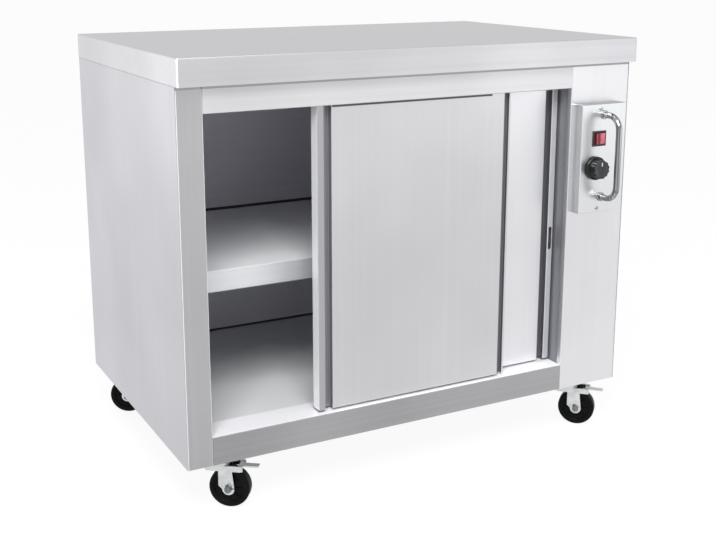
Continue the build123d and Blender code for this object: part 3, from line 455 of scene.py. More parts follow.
# Directions and places of the patches. The doors' finger pull is a lip at the door's end and a
# channel beside it. The left door has a shallow channel along its other end too
UP, LEFTWARD = (0.0, 0.0, 1.0), (-1.0, 0.0, 0.0)
LEFT_CORNER, RIGHT_CORNER = (-HALFWAY, -HALFWAY, 0.0), (HALFWAY, -HALFWAY, 0.0)
LEFT_SKIN, RIGHT_SKIN = "left_door_front_skin", "right_door_front_skin"
LEFT_LIP, RIGHT_LIP, PULL, TRAILING = (0.8, 14.3), (0.0, 14.3), (14.3, 30.5), (2.9, 15.3)
# Painted shade: dark lines where one sheet meets or overhangs the next. The one under the header
# starts past the left door's pull and ends short of its other end
PAINTED_SHADE_UNDER_SKIRT = painted_shade_line(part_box("worktop")[0].z, below=6.5, above=2, colour="#9C9CA0")
PAST_PULL, SHORT_OF_END = 31 * MM, 45 * MM
PAINTED_SHADE_UNDER_HEADER = painted_shade_line(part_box("header_rail")[0].z, below=5, above=9, colour="#505054",
                          left=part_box(LEFT_SKIN)[0].x + PAST_PULL,
                          right=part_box(LEFT_SKIN)[1].x - SHORT_OF_END)
PAINTED_SHADE_ON_SHELF_AND_DECK = tuple(painted_shade_line(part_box(node)[1].z, below=2, above=5, colour="#4C4C50")
                          for node in ("shelf", "deck"))

# Satin-brushed stainless sheet: the long scratches tell the eye that it is sheet metal, and how
# each sheet was turned at the belt. Worktop: the top is painted deeper in tone than the skirt, a
# painted reflection of the dark room above, and its left corner has a painted highlight line
WORKTOP_STEEL = BrushedSteel("brushed_stainless_worktop", "#BFBFC2", "#CDCDD0",
                             patches=(Patch("#A9A9AC", 1.0, UP),
                                      Patch("#F4F4F5", 0.3, LEFT_CORNER)))
# Sides and back: brushed upwards and even, with painted highlights on the folded front corners
SIDE_STEEL = BrushedSteel("brushed_stainless_side", "#B7B7BD", "#C5C5CA", Grain.UP, streaks=0.15,
                          patches=(Patch("#EAEAEC", 0.4, LEFT_CORNER),
                                   Patch("#F4F4F6", 0.3, RIGHT_CORNER)))
# Post: a shade darker than the side, so that the front frame stands out from it
# Its folded corners carry painted highlights, and a painted shade line runs under the skirt
POST_STEEL = BrushedSteel("brushed_stainless_post", "#AEAEB0", "#BBBBBD", Grain.UP,
                          patches=(Patch("#EAEAEC", 0.4, LEFT_CORNER),
                                   Patch("#E4E4E6", 0.4, RIGHT_CORNER), PAINTED_SHADE_UNDER_SKIRT))
# Header: pale and less of a mirror, so that it stays light over the dark opening
# A painted shade line runs along its top, under the skirt
HEADER_STEEL = BrushedSteel("brushed_stainless_header", "#C0C0C2", "#CDCDCF", metallic=0.75,
                            patches=(PAINTED_SHADE_UNDER_SKIRT,))
# Column and control box: the palest sheet, which sets off the black and red controls. The box's
# top is painted dark, a painted reflection of the skirt above. The column has a painted highlight
# on its right corner and a painted shade line under the skirt
COLUMN_STEEL = BrushedSteel("brushed_stainless_column", "#D5D5D8", "#DFDFE2", Grain.UP,
                            streaks=0.2,
                            patches=(Patch("#F4F4F6", 0.3, RIGHT_CORNER), PAINTED_SHADE_UNDER_SKIRT))
BOX_STEEL = BrushedSteel("brushed_stainless_control_box", "#D4D6D7", "#E0E2E2", Grain.UP,
                         roughness=0.3, streaks=0.2, patches=(Patch("#8E8F92", 0.9, UP),))
# Bottom rail: the darkest sheet of the front, painted dark as a painted reflection of the shaded
# floor before it, with a painted highlight on its top
RAIL_STEEL = BrushedSteel("brushed_stainless_rail", "#9A9A9D", "#A9A9AC",
                          patches=(Patch("#E9E9EB", 0.15, UP),))
# Doors: broad even faces, with painted highlights on the faces that look left, painted shade in
# the pull channels and a painted shadow along the top, under the header
DOOR_STEEL = BrushedSteel(
    "brushed_stainless_door", "#C4C4C7", "#D0D0D3", Grain.UP, streaks=0.2,
    patches=(Patch("#E6E6E8", 0.2, LEFTWARD),
             door_strip(LEFT_SKIN, False, LEFT_LIP, "#ADADB1", 1.0, Layer.FACE),
             door_strip(LEFT_SKIN, False, PULL, "#86868A", 0.7, Layer.CHANNEL),
             door_strip(LEFT_SKIN, True, TRAILING, "#77777B", 0.8, Layer.CHANNEL),
             PAINTED_SHADE_UNDER_HEADER))
REAR_DOOR_STEEL = BrushedSteel(
    "brushed_stainless_rear_door", "#D6D6D9", "#E1E1E4", Grain.UP, streaks=0.2,
    patches=(door_strip(RIGHT_SKIN, True, RIGHT_LIP, "#CDCDD2", 0.6, Layer.FACE),
             door_strip(RIGHT_SKIN, True, PULL, "#56565A", 0.7, Layer.CHANNEL)))
# Door ends: half matt, so that they show as pale upright lines
CAP_STEEL = BrushedSteel("brushed_stainless_cap", "#D6D6D8", "#E0E0E2", Grain.UP, metallic=0.4)
# Jamb: painted shade, a dull dark grey for the shade in the depth of the frame, which sets it back
# behind the doors
JAMB_STEEL = BrushedSteel("brushed_stainless_jamb", "#7B7C81", "#8C8D92", Grain.UP, metallic=0.5)
# Mill-finish sheet inside: rougher than the outside, so that it takes soft light and no mirror
LINER_STEEL = BrushedSteel("rolled_stainless_liner", "#D0D0D7", "#DCDCE2", roughness=0.5,
                           metallic=0.2)
# The rear liner carries painted shade lines where it meets the shelf and the deck
REAR_LINER_STEEL = BrushedSteel("rolled_stainless_rear_liner", "#D0D0D7", "#DCDCE2",
                                roughness=0.5, metallic=0.2, patches=PAINTED_SHADE_ON_SHELF_AND_DECK)
# Shelf and deck: a soft half mirror, with painted light on top, which is paler and less of a mirror
SHELF_STEEL = BrushedSteel("rolled_stainless_shelf", "#BCBDC0", "#C9CACD", roughness=0.45,
                           metallic=0.5, patches=(Patch("#DDDEDF", 0.2, UP),))
# Buffed bar: painted reflections, clear light and dark bands along it, as a rounded mirror gives
POLISHED_BAR = BrushedSteel("polished_stainless_bar", "#75777B", "#C9CACD", Grain.UP,
                            roughness=0.12, depth=0.02, streaks=1.6, streak_mm=4.0)
# Zinc: a cool mottled grey on hidden sheet, a brighter and smoother coat on the castors, and a
# darker one on screws, rivets and nuts, which picks them out from what they hold
ZINC_SHEET = PlatedSteel("galvanised_steel_sheet", "#9EA1A4", "#B9BCBE", roughness=0.4,
                         mottle_mm=9.0)
BRIGHT_ZINC = PlatedSteel("bright_zinc_plated_steel", "#B6B9BA", "#DADCDC")
SCREW_STEEL = PlatedSteel("zinc_plated_screw", "#8E9192", "#C3C5C6", roughness=0.3)
NUT_STEEL = PlatedSteel("dull_zinc_nut", "#5E6163", "#85888A", roughness=0.38)
# Black rubber and plastics: nearly black, and only their gloss shows the rounding of the edges
TYRE_RUBBER = MouldedPolymer("moulded_black_rubber", "#020203", "#070709", roughness=0.42,
                             specular=0.1)
BLACK_PLASTIC = MouldedPolymer("moulded_black_abs", "#0B0C0D", "#15171A", roughness=0.36,
                               specular=0.3)
KNOB_PLASTIC = MouldedPolymer("moulded_black_phenolic", "#08090A", "#141617", roughness=0.3,
                              specular=0.3)
# The knob's front is turned flat, so it has less gloss, and it is painted greyer than the grip as a
# painted reflection of the light it faces
KNOB_FRONT = MouldedPolymer("turned_black_phenolic_painted_sheen", "#2C2F30", "#3C4041", roughness=0.5,
                            specular=0.4)
# Red see-through rocker: the half that leans away from the light gets a painted shade, deep and
# wine-red
ROCKER_PLASTIC = MouldedPolymer("clear_red_polycarbonate", "#AE4A58", "#CB6B76", roughness=0.22,
                                depth=0.02)
ROCKER_PAINTED_SHADE = MouldedPolymer("shaded_red_polycarbonate", "#4C0D1A", "#651524", roughness=0.3,
                              depth=0.02)
# Bezel: dark with a red tinge, a soft frame round the bright rocker
BEZEL_PLASTIC = MouldedPolymer("moulded_dark_abs", "#2A2224", "#382E30", roughness=0.4,
                               specular=0.4)
# Pointer ink: matt and pale, the one light line on the knob
MARK_PAINT = MouldedPolymer("printed_white_ink", "#BFC0BE", "#CFD0CE", roughness=0.6, depth=0.05)
# Unpainted nylon and thermoset: warm off-whites that set running parts off from the steel
NATURAL_NYLON = MouldedPolymer("natural_nylon", "#D8D6CC", "#E6E4DC", roughness=0.42)
CREAM_THERMOSET = MouldedPolymer("cream_thermoset", "#CDBF9A", "#DCD0AE", roughness=0.5)
# Heater tube: browned and dulled by its own heat
HEATER_SHEATH = PlatedSteel("oxidised_heater_sheath", "#3A332E", "#574B42", roughness=0.5,
                            mottle_mm=6.0)
# Mineral wool: a matt ochre board, plainly not metal
WOOL = MineralWool("mineral_wool_board", "#A08A4E", "#CDBB86")


@dataclass
class Finisher:
    """Keeps one material for each finish, so that pieces of one finish share it."""

    made: dict[str, bpy.types.Material] = field(default_factory=dict)

    def of(self, finish: Finish) -> bpy.types.Material:
        """Give the finish's material, building it the first time."""
        if finish.name not in self.made:
            self.made[finish.name] = finish.material()
        return self.made[finish.name]

    def coat(self, obj: bpy.types.Object, finish: Finish) -> None:
        """Give the whole object one finish."""
        obj.data.materials.clear()
        obj.data.materials.append(self.of(finish))

    def coat_nodes(self, finishes: dict[str, Finish]) -> None:
        """Give CAD nodes their finishes, by name."""
        for name, finish in finishes.items():
            self.coat(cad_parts[name], finish)


PAINT = Finisher()


# ------------------------------------------------------------------ modelling helpers
def deselect() -> None:
    """Leave edit mode and select nothing."""
    if bpy.context.mode != "OBJECT":
        bpy.ops.object.mode_set(mode="OBJECT")
    bpy.ops.object.select_all(action="DESELECT")


def activate(obj: bpy.types.Object) -> None:
    """Select one object alone and make it active."""
    deselect()
    obj.select_set(True)
    bpy.context.view_layer.objects.active = obj


@contextmanager
def editing(obj: bpy.types.Object) -> Iterator[None]:
    """Work on one object in edit mode, with nothing selected at first."""
    activate(obj)
    bpy.ops.object.mode_set(mode="EDIT")
    bpy.ops.mesh.select_mode(type="FACE")
    bpy.ops.mesh.select_all(action="DESELECT")
    yield
    bpy.ops.object.mode_set(mode="OBJECT")


def select_faces(obj: bpy.types.Object, test: FaceTest) -> None:
    """Select the faces that pass a test, in edit mode.

    Args:
        obj: the object in edit mode.
        test: takes a face's centre and its normal.
    """
    bpy.ops.mesh.select_mode(type="FACE")
    bpy.ops.mesh.select_all(action="DESELECT")
    mesh = bmesh.from_edit_mesh(obj.data)
    for face in mesh.faces:
        if test(face.calc_center_median(), face.normal):
            face.select_set(True)
    bmesh.update_edit_mesh(obj.data)


def select_edges(obj: bpy.types.Object, test: EdgeTest) -> None:
    """Select the edges that pass a test, in edit mode.

    Args:
        obj: the object in edit mode.
        test: takes the places of an edge's two ends.
    """
    bpy.ops.mesh.select_mode(type="EDGE")
    bpy.ops.mesh.select_all(action="DESELECT")
    mesh = bmesh.from_edit_mesh(obj.data)
    for edge in mesh.edges:
        if test(edge.verts[0].co, edge.verts[1].co):
            edge.select_set(True)
    bmesh.update_edit_mesh(obj.data)


def extrude(offset: Vector) -> None:
    """Extrude what is selected by an offset."""
    bpy.ops.mesh.extrude_region_move(TRANSFORM_OT_translate={"value": offset})


def turned_to(axis: Vector) -> Point:
    """Give the rotation that turns +Z onto an axis."""
    return tuple(Vector((0, 0, 1)).rotation_difference(axis).to_euler())


def placed(name: str) -> bpy.types.Object:
    """Name the primitive just added, and put its place, turn and size into its mesh."""
    obj = bpy.context.object
    obj.name = name
    bpy.ops.object.transform_apply(location=True, rotation=True, scale=True)
    return obj


def bar(name: str, start: Vector, end: Vector, radius: float, sides: int = 48
        ) -> bpy.types.Object:
    """Add a round bar between two points.

    Args:
        name: the new object's name.
        start: centre of the first end.
        end: centre of the other end.
        radius: the bar's radius.
        sides: how many flats the bar's round has.

    Returns:
        The bar, with its place in its mesh.
    """
    deselect()
    axis = end - start
    bpy.ops.mesh.primitive_cylinder_add(vertices=sides, radius=radius, depth=axis.length,
                                        location=(start + end) / 2, rotation=turned_to(axis))
    return placed(name)


def slab(name: str, low: Vector, high: Vector) -> bpy.types.Object:
    """Add a block between two corners, with its place in its mesh."""
    deselect()
    bpy.ops.mesh.primitive_cube_add(size=1, location=(low + high) / 2)
    bpy.context.object.scale = high - low
    return placed(name)


def soften(obj: bpy.types.Object, width: float, angle: float = 35.0, segments: int = 3) -> None:
    """Round an object's sharp edges with an applied bevel.

    Args:
        obj: the object.
        width: the bevel's width.
        angle: from how many degrees on an edge is sharp.
        segments: how many facets the rounding has.
    """
    activate(obj)
    bevel = obj.modifiers.new("edge", "BEVEL")
    bevel.width = width
    bevel.segments = segments
    bevel.limit_method = "ANGLE"
    bevel.angle_limit = math.radians(angle)
    bpy.ops.object.modifier_apply(modifier="edge")


def smooth(obj: bpy.types.Object, angle: float = 35.0) -> None:
    """Shade an object smooth, except over edges sharper than an angle in degrees."""
    activate(obj)
    bpy.ops.object.shade_smooth_by_angle(angle=math.radians(angle))


def join(pieces: list[bpy.types.Object], name: str) -> bpy.types.Object:
    """Join several objects into the first one and name it."""
    deselect()
    for piece in pieces:
        piece.select_set(True)
    bpy.context.view_layer.objects.active = pieces[0]
    bpy.ops.object.join()
    pieces[0].name = name
    return pieces[0]


def copied(obj: bpy.types.Object, matrix: Matrix, name: str) -> bpy.types.Object:
    """Copy an object with its own mesh, moved by a matrix.

    Args:
        obj: the object to copy.
        matrix: the move, which goes into the mesh.
        name: the copy's name.

    Returns:
        The copy.
    """
    other = obj.copy()
    other.data = obj.data.copy()
    other.data.transform(matrix)
    other.name = name
    bpy.context.scene.collection.objects.link(other)
    return other


def cad_copy(node: str, name: str, edge: float) -> bpy.types.Object:
    """Copy a CAD node as one closed mesh with softened edges.

    Args:
        node: the CAD node's name.
        name: the copy's name.
        edge: how wide its edges are rounded.

    Returns:
        The copy, shaded smooth.
    """
    obj = copied(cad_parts[node], Matrix.Identity(4), name)
    obj.parent = None
    for key in [k for k in obj.keys() if k.startswith("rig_")]:
        del obj[key]
    with editing(obj):
        bpy.ops.mesh.select_all(action="SELECT")
        bpy.ops.mesh.remove_doubles(threshold=SAME_PLACE)
        bpy.ops.mesh.dissolve_limited(angle_limit=math.radians(FLAT_DEGREES))
    activate(obj)
    if obj.data.has_custom_normals:
        bpy.ops.mesh.customdata_custom_splitnormals_clear()
    soften(obj, edge, angle=32.0, segments=2)
    smooth(obj)
    return obj


def repaint(obj: bpy.types.Object, finish: Finish, test: FaceTest) -> None:
    """Give the faces that pass a test another finish.

    Args:
        obj: the object, coated already.
        finish: the faces' finish.
        test: takes a face's centre and its normal.
    """
    obj.data.materials.append(PAINT.of(finish))
    obj.active_material_index = len(obj.data.materials) - 1
    with editing(obj):
        select_faces(obj, test)
        bpy.ops.object.material_slot_assign()
    deselect()


def finish_piece(obj: bpy.types.Object, body: str, finish: Finish, slot: str, *nodes: str
                 ) -> None:
    """Coat a piece, hang it on its body and log it.

    Args:
        obj: the piece, with its place in its mesh.
        body: the CAD body that carries it.
        finish: its finish.
        slot: the record's material slot; not used.
        *nodes: CAD nodes that it stands for.
    """
    PAINT.coat(obj, finish)
    deselect()
    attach(obj, body)
    if nodes:
        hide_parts(*nodes)
    log.info("%s rides on %s", obj.name, body)


# ------------------------------------------------------------------ sub-assemblies
@dataclass
class Carcass:
    """Outer sheet metal, worktop, base and the rivets that hold the back panel."""

    rivet_radius: float = 3.2 * MM
    rivet_height: float = 0.9 * MM
    rivet_sides: int = 24
    rivet_rim: float = 1.12 * MM
    rivet_crown: float = 0.09 * MM
    pin_rim: float = 0.96 * MM
    pin_depth: float = 0.36 * MM
    rivet_edge: float = 0.25 * MM
    rivet_inset: float = 9.0 * MM
    rivets_across: int = 6
    rivets_up: int = 5

    def dress(self) -> None:
        """Give the carcass nodes their finishes."""
        PAINT.coat_nodes({
            "worktop": WORKTOP_STEEL, "worktop_core": WOOL, "left_side_panel": SIDE_STEEL,
            "right_side_panel": SIDE_STEEL, "back_panel": SIDE_STEEL, "left_post": POST_STEEL,
            "header_rail": HEADER_STEEL, "bottom_rail": RAIL_STEEL, "column_front": COLUMN_STEEL,
            "right_jamb": JAMB_STEEL, "base_pan": ZINC_SHEET, "insulation": WOOL,
        })

    def rivet(self, back_y: float) -> bpy.types.Object:
        """Model one blind rivet's head on the back, with its crowned rim and sunk pin.

        Args:
            back_y: where the back panel's outer face is.

        Returns:
            The head, at x = 0 and z = 0.
        """
        face = Vector((0, back_y, 0))
        head = bar("rivet", face, face + Vector((0, self.rivet_height, 0)), self.rivet_radius,
                   self.rivet_sides)
        with editing(head):
            select_faces(head, lambda c, n: n.y > SQUARE_ON)
            bpy.ops.mesh.inset(thickness=self.rivet_rim, depth=self.rivet_crown)
            select_faces(head, lambda c, n: n.y > SQUARE_ON and Vector((c.x, c.z)).length < NEAR)
            bpy.ops.mesh.inset(thickness=self.pin_rim, depth=-self.pin_depth)
        soften(head, self.rivet_edge, segments=2)
        return head

    def rivets(self) -> None:
        """Copy the rivet's head round the edge of the back panel."""
        low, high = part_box("back_panel")
        head = self.rivet(high.y)
        left, right = low.x + self.rivet_inset, high.x - self.rivet_inset
        bottom, top = low.z + self.rivet_inset, high.z - self.rivet_inset
        places = set()
        for step in range(self.rivets_across):
            x = left + (right - left) * step / (self.rivets_across - 1)
            places |= {(x, bottom), (x, top)}
        for step in range(self.rivets_up):
            z = bottom + (top - bottom) * step / (self.rivets_up - 1)
            places |= {(left, z), (right, z)}
        copies = [copied(head, Matrix.Translation((x, 0, z)), "rivet") for x, z in sorted(places)]
        bpy.data.objects.remove(head)
        rivets = join(copies, "back_panel_rivets")
        smooth(rivets)
        finish_piece(rivets, "cabinet", SCREW_STEEL, "stainless_panel")

    def build(self) -> None:
        """Dress the carcass and add its rivets."""
        self.dress()
        self.rivets()


class Compartment:
    """Liners, deck, shelf and runners inside, with the door gear above."""

    def build(self) -> None:
        """Give the compartment nodes their finishes."""
        PAINT.coat_nodes({
            "compartment_ceiling": LINER_STEEL, "left_liner": LINER_STEEL,
            "rear_liner": REAR_LINER_STEEL, "right_liner": LINER_STEEL, "deck": SHELF_STEEL,
            "shelf": SHELF_STEEL, "shelf_runners": LINER_STEEL, "track_carrier": ZINC_SHEET,
            "door_tracks": ZINC_SHEET, "bottom_guide": NATURAL_NYLON,
        })


class Doors:
    """The two sliding doors with their hangers and rollers."""

    def build(self) -> None:
        """Give the door nodes their finishes."""
        for side, steel in (("left", DOOR_STEEL), ("right", REAR_DOOR_STEEL)):
            PAINT.coat_nodes({
                f"{side}_door_front_skin": steel, f"{side}_door_inner_skin": LINER_STEEL,
                f"{side}_door_end_caps": CAP_STEEL, f"{side}_door_hangers": ZINC_SHEET,
                f"{side}_door_roller_a": NATURAL_NYLON, f"{side}_door_roller_b": NATURAL_NYLON,
            })


@dataclass
class GuardBar:
    """D-shaped bar of polished steel that keeps trolleys off the controls."""

    radius: float = 6.5 * MM
    sides: int = 32
    bend: float = 30.0 * MM
    bend_steps: int = 14
    collar_radius: float = 9.5 * MM
    collar_height: float = 2.5 * MM
    collar_rim: float = 1.4 * MM
    collar_rise: float = 0.4 * MM
    collar_edge: float = 0.5 * MM

    def tube(self, x: float, face_y: float, bar_y: float, foot: float, top: float
             ) -> bpy.types.Object:
        """Model the bar from a ring that is extruded and spun from the foot to the top.

        Args:
            x: where the bar stands across the box.
            face_y: where the box's face is.
            bar_y: where the middle of the bar's straight run is.
            foot: the height of the lower end's middle.
            top: the height of the upper end's middle.

        Returns:
            The bar, closed at both ends.
        """
        deselect()
        bpy.ops.mesh.primitive_circle_add(vertices=self.sides, radius=self.radius,
                                          fill_type="NOTHING", location=(x, face_y, foot),
                                          rotation=(math.pi / 2, 0, 0))
        tube = placed("guard_tube")
        reach = Vector((0, face_y - bar_y - self.bend, 0))
        with editing(tube):
            bpy.ops.mesh.select_mode(type="EDGE")
            bpy.ops.mesh.select_all(action="SELECT")
            extrude(-reach)
            self.turn(Vector((x, bar_y + self.bend, foot + self.bend)))
            extrude(Vector((0, 0, top - foot - 2 * self.bend)))
            self.turn(Vector((x, bar_y + self.bend, top - self.bend)))
            extrude(reach)
            bpy.ops.mesh.select_all(action="SELECT")
            bpy.ops.mesh.remove_doubles(threshold=SAME_PLACE)
            bpy.ops.mesh.select_all(action="DESELECT")
            bpy.ops.mesh.select_non_manifold()
            bpy.ops.mesh.edge_face_add()
            bpy.ops.mesh.select_all(action="SELECT")
            bpy.ops.mesh.normals_make_consistent(inside=False)
        return tube

    def turn(self, centre: Vector) -> None:
        """Spin the selected ring of edges a quarter turn about the X axis."""
        bpy.ops.mesh.spin(steps=self.bend_steps, angle=math.pi / 2, center=centre,
                          axis=(1, 0, 0))

    def collar(self, centre: Vector) -> bpy.types.Object:
        """Model the stepped collar of one foot, out from its centre on the box's face."""
        collar = bar("collar", centre, centre - Vector((0, self.collar_height, 0)),
                     self.collar_radius)
        with editing(collar):
            select_faces(collar, lambda c, n: n.y < -SQUARE_ON)
            bpy.ops.mesh.inset(thickness=self.collar_rim, depth=self.collar_rise)
        soften(collar, self.collar_edge)
        return collar

    def build(self) -> None:
        """Build the bar and its two collars as one piece."""
        low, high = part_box("guard_handle")
        x = (low.x + high.x) / 2
        face_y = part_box("control_box")[0].y
        foot, top = low.z + self.collar_radius, high.z - self.collar_radius
        tube = self.tube(x, face_y, low.y + self.radius, foot, top)
        collar = self.collar(Vector((x, face_y, foot)))
        upper = copied(collar, Matrix.Translation((0, 0, top - foot)), "collar")
        piece = join([tube, collar, upper], "guard_bar")
        smooth(piece, angle=40)
        finish_piece(piece, "cabinet", POLISHED_BAR, "polished_steel", "guard_handle")


@dataclass
class Knob:
    """Thermostat knob: a skirt, a fluted grip and a white pointer line."""

    skirt_radius: float = 24.5 * MM
    skirt_height: float = 5.0 * MM
    skirt_gap: float = 1.8 * MM
    shoulder: float = 1.2 * MM
    grip_radius: float = 19.5 * MM
    flutes: int = 12
    sides_per_flute: int = 8
    fluted_from: float = 0.9  # as a share of the grip's radius
    flute_depth: float = 0.085  # also as a share of it
    flute_sharpness: float = 1.5
    rim: float = 2.2 * MM
    dish_wall: float = 0.8 * MM
    dish_depth: float = 0.7 * MM
    edge: float = 0.9 * MM
    spindle_radius: float = 3.0 * MM
    spindle_sides: int = 24
    pointer_half_width: float = 0.9 * MM
    pointer_span: tuple[float, float] = (7.0 * MM, 14.5 * MM)
    pointer_depths: tuple[float, float] = (0.2 * MM, 1.0 * MM)
    pointer_tip: float = 0.6 * MM
    pointer_taper: float = 0.5  # the tip's width, as a share of the line's

    def build(self) -> None:
        """Build the knob on its spindle, and its pointer."""
        low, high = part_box("thermostat_knob")
        centre = Vector(((low.x + high.x) / 2, 0, (low.z + high.z) / 2))
        front_y, back_y = low.y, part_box("control_box")[0].y - self.skirt_gap
        knob = self.body(centre, front_y, back_y)
        spindle = bar("spindle", Vector((centre.x, back_y, centre.z)),
                      Vector((centre.x, high.y, centre.z)), self.spindle_radius,
                      self.spindle_sides)
        smooth(spindle)
        piece = join([knob, spindle], "thermostat_knob_moulded")
        finish_piece(piece, "knob", KNOB_PLASTIC, "black_plastic", "thermostat_knob")
        flat_to = front_y + self.shoulder
        # The front gets its painted reflection: a greyer finish with less gloss
        repaint(piece, KNOB_FRONT, lambda c, n: n.y < -SQUARE_ON and c.y < flat_to)
        self.pointer(Vector((centre.x, front_y, centre.z)))

    def body(self, centre: Vector, front_y: float, back_y: float) -> bpy.types.Object:
        """Model skirt and grip from one cylinder.

        Args:
            centre: a point on the knob's axis, with y = 0.
            front_y: where the grip's front is.
            back_y: where the skirt's back is.

        Returns:
            The knob, shaded smooth.
        """
        step_y = back_y - self.skirt_height
        knob = bar("knob", Vector((centre.x, back_y, centre.z)),
                   Vector((centre.x, step_y, centre.z)), self.skirt_radius,
                   self.flutes * self.sides_per_flute)
        with editing(knob):
            select_faces(knob, lambda c, n: n.y < -SQUARE_ON)
            bpy.ops.mesh.inset(thickness=self.skirt_radius - self.grip_radius - self.shoulder,
                               depth=self.shoulder)
            bpy.ops.mesh.inset(thickness=self.shoulder, depth=0)
            extrude(Vector((0, front_y - (step_y - self.shoulder), 0)))
        self.flute(knob, centre, step_y - self.shoulder - NEAR)
        with editing(knob):
            select_faces(knob, lambda c, n: n.y < -SQUARE_ON and c.y < front_y + NEAR)
            bpy.ops.mesh.inset(thickness=self.rim, depth=0)
            bpy.ops.mesh.inset(thickness=self.dish_wall, depth=-self.dish_depth)
        soften(knob, self.edge, angle=50)
        smooth(knob, angle=40)
        return knob

    def flute(self, knob: bpy.types.Object, centre: Vector, from_y: float) -> None:
        """Press finger flutes into the grip by moving rows of its points inwards.

        Args:
            knob: the knob.
            centre: a point on its axis, with y = 0.
            from_y: points behind this stay.
        """
        mesh = bmesh.new()
        mesh.from_mesh(knob.data)
        for vert in mesh.verts:
            arm = Vector((vert.co.x - centre.x, 0, vert.co.z - centre.z))
            if vert.co.y > from_y or arm.length < self.grip_radius * self.fluted_from:
                continue
            wave = max(0.0, math.cos(math.atan2(arm.z, arm.x) * self.flutes))
            vert.co -= arm * (self.flute_depth * wave ** self.flute_sharpness)
        mesh.to_mesh(knob.data)
        mesh.free()

    def pointer(self, front: Vector) -> None:
        """Model the pointer line, narrowed at its tip.

        Args:
            front: the middle of the knob's front.
        """
        (start, end), (near, deep) = self.pointer_span, self.pointer_depths
        line = slab("knob_pointer", front + Vector((-self.pointer_half_width, near, start)),
                    front + Vector((self.pointer_half_width, deep, end)))
        with editing(line):
            select_faces(line, lambda c, n: n.z > SQUARE_ON)
            extrude(Vector((0, 0, self.pointer_tip)))
            bpy.ops.transform.resize(value=(self.pointer_taper, 1, 1), center_override=front)
        finish_piece(line, "knob", MARK_PAINT, "black_plastic")


@dataclass
class RockerSwitch:
    """Red rocker in a dark bezel."""

    bezel_edge: float = 0.3 * MM
    rocker_edge: float = 0.4 * MM
    # A face of the rocker gets the painted shade if its normal is turned back or to the right past
    # these
    turned_back: float = -0.7
    turned_right: float = 0.02

    def build(self) -> None:
        """Model bezel and rocker over their CAD nodes, and paint shade on the half that leans away.
        """
        bezel = cad_copy("switch_housing", "rocker_bezel", self.bezel_edge)
        finish_piece(bezel, "cabinet", BEZEL_PLASTIC, "black_plastic", "switch_housing")
        rocker = cad_copy("switch_rocker", "red_rocker", self.rocker_edge)
        finish_piece(rocker, "rocker", ROCKER_PLASTIC, "red_plastic", "switch_rocker")
        repaint(rocker, ROCKER_PAINTED_SHADE, lambda c, n: n.y > self.turned_back
                or n.x > self.turned_right)


@dataclass
class BoxFixings:
    """Screws that hold the control box."""

    edge: float = 0.35 * MM

    def build(self) -> None:
        """Model the screws over their CAD node, with rounded heads."""
        piece = cad_copy("control_box_fixings", "control_box_screws", self.edge)
        finish_piece(piece, "cabinet", SCREW_STEEL, "zinc_plated_steel", "control_box_fixings")


class ControlGroup:
    """Control box with everything on and behind its face."""

    def build(self) -> None:
        """Dress the box and build its parts."""
        PAINT.coat_nodes({
            "control_box": BOX_STEEL, "thermostat": CREAM_THERMOSET,
            "terminal_block": CREAM_THERMOSET, "thermostat_probe": ZINC_SHEET,
            "heater_duct": ZINC_SHEET, "heating_element": HEATER_SHEATH,
            "fan_frame": BLACK_PLASTIC, "fan_impeller": BLACK_PLASTIC,
            "cable_gland": BLACK_PLASTIC,
        })
        for part in (GuardBar(), Knob(), RockerSwitch(), BoxFixings()):
            part.build()


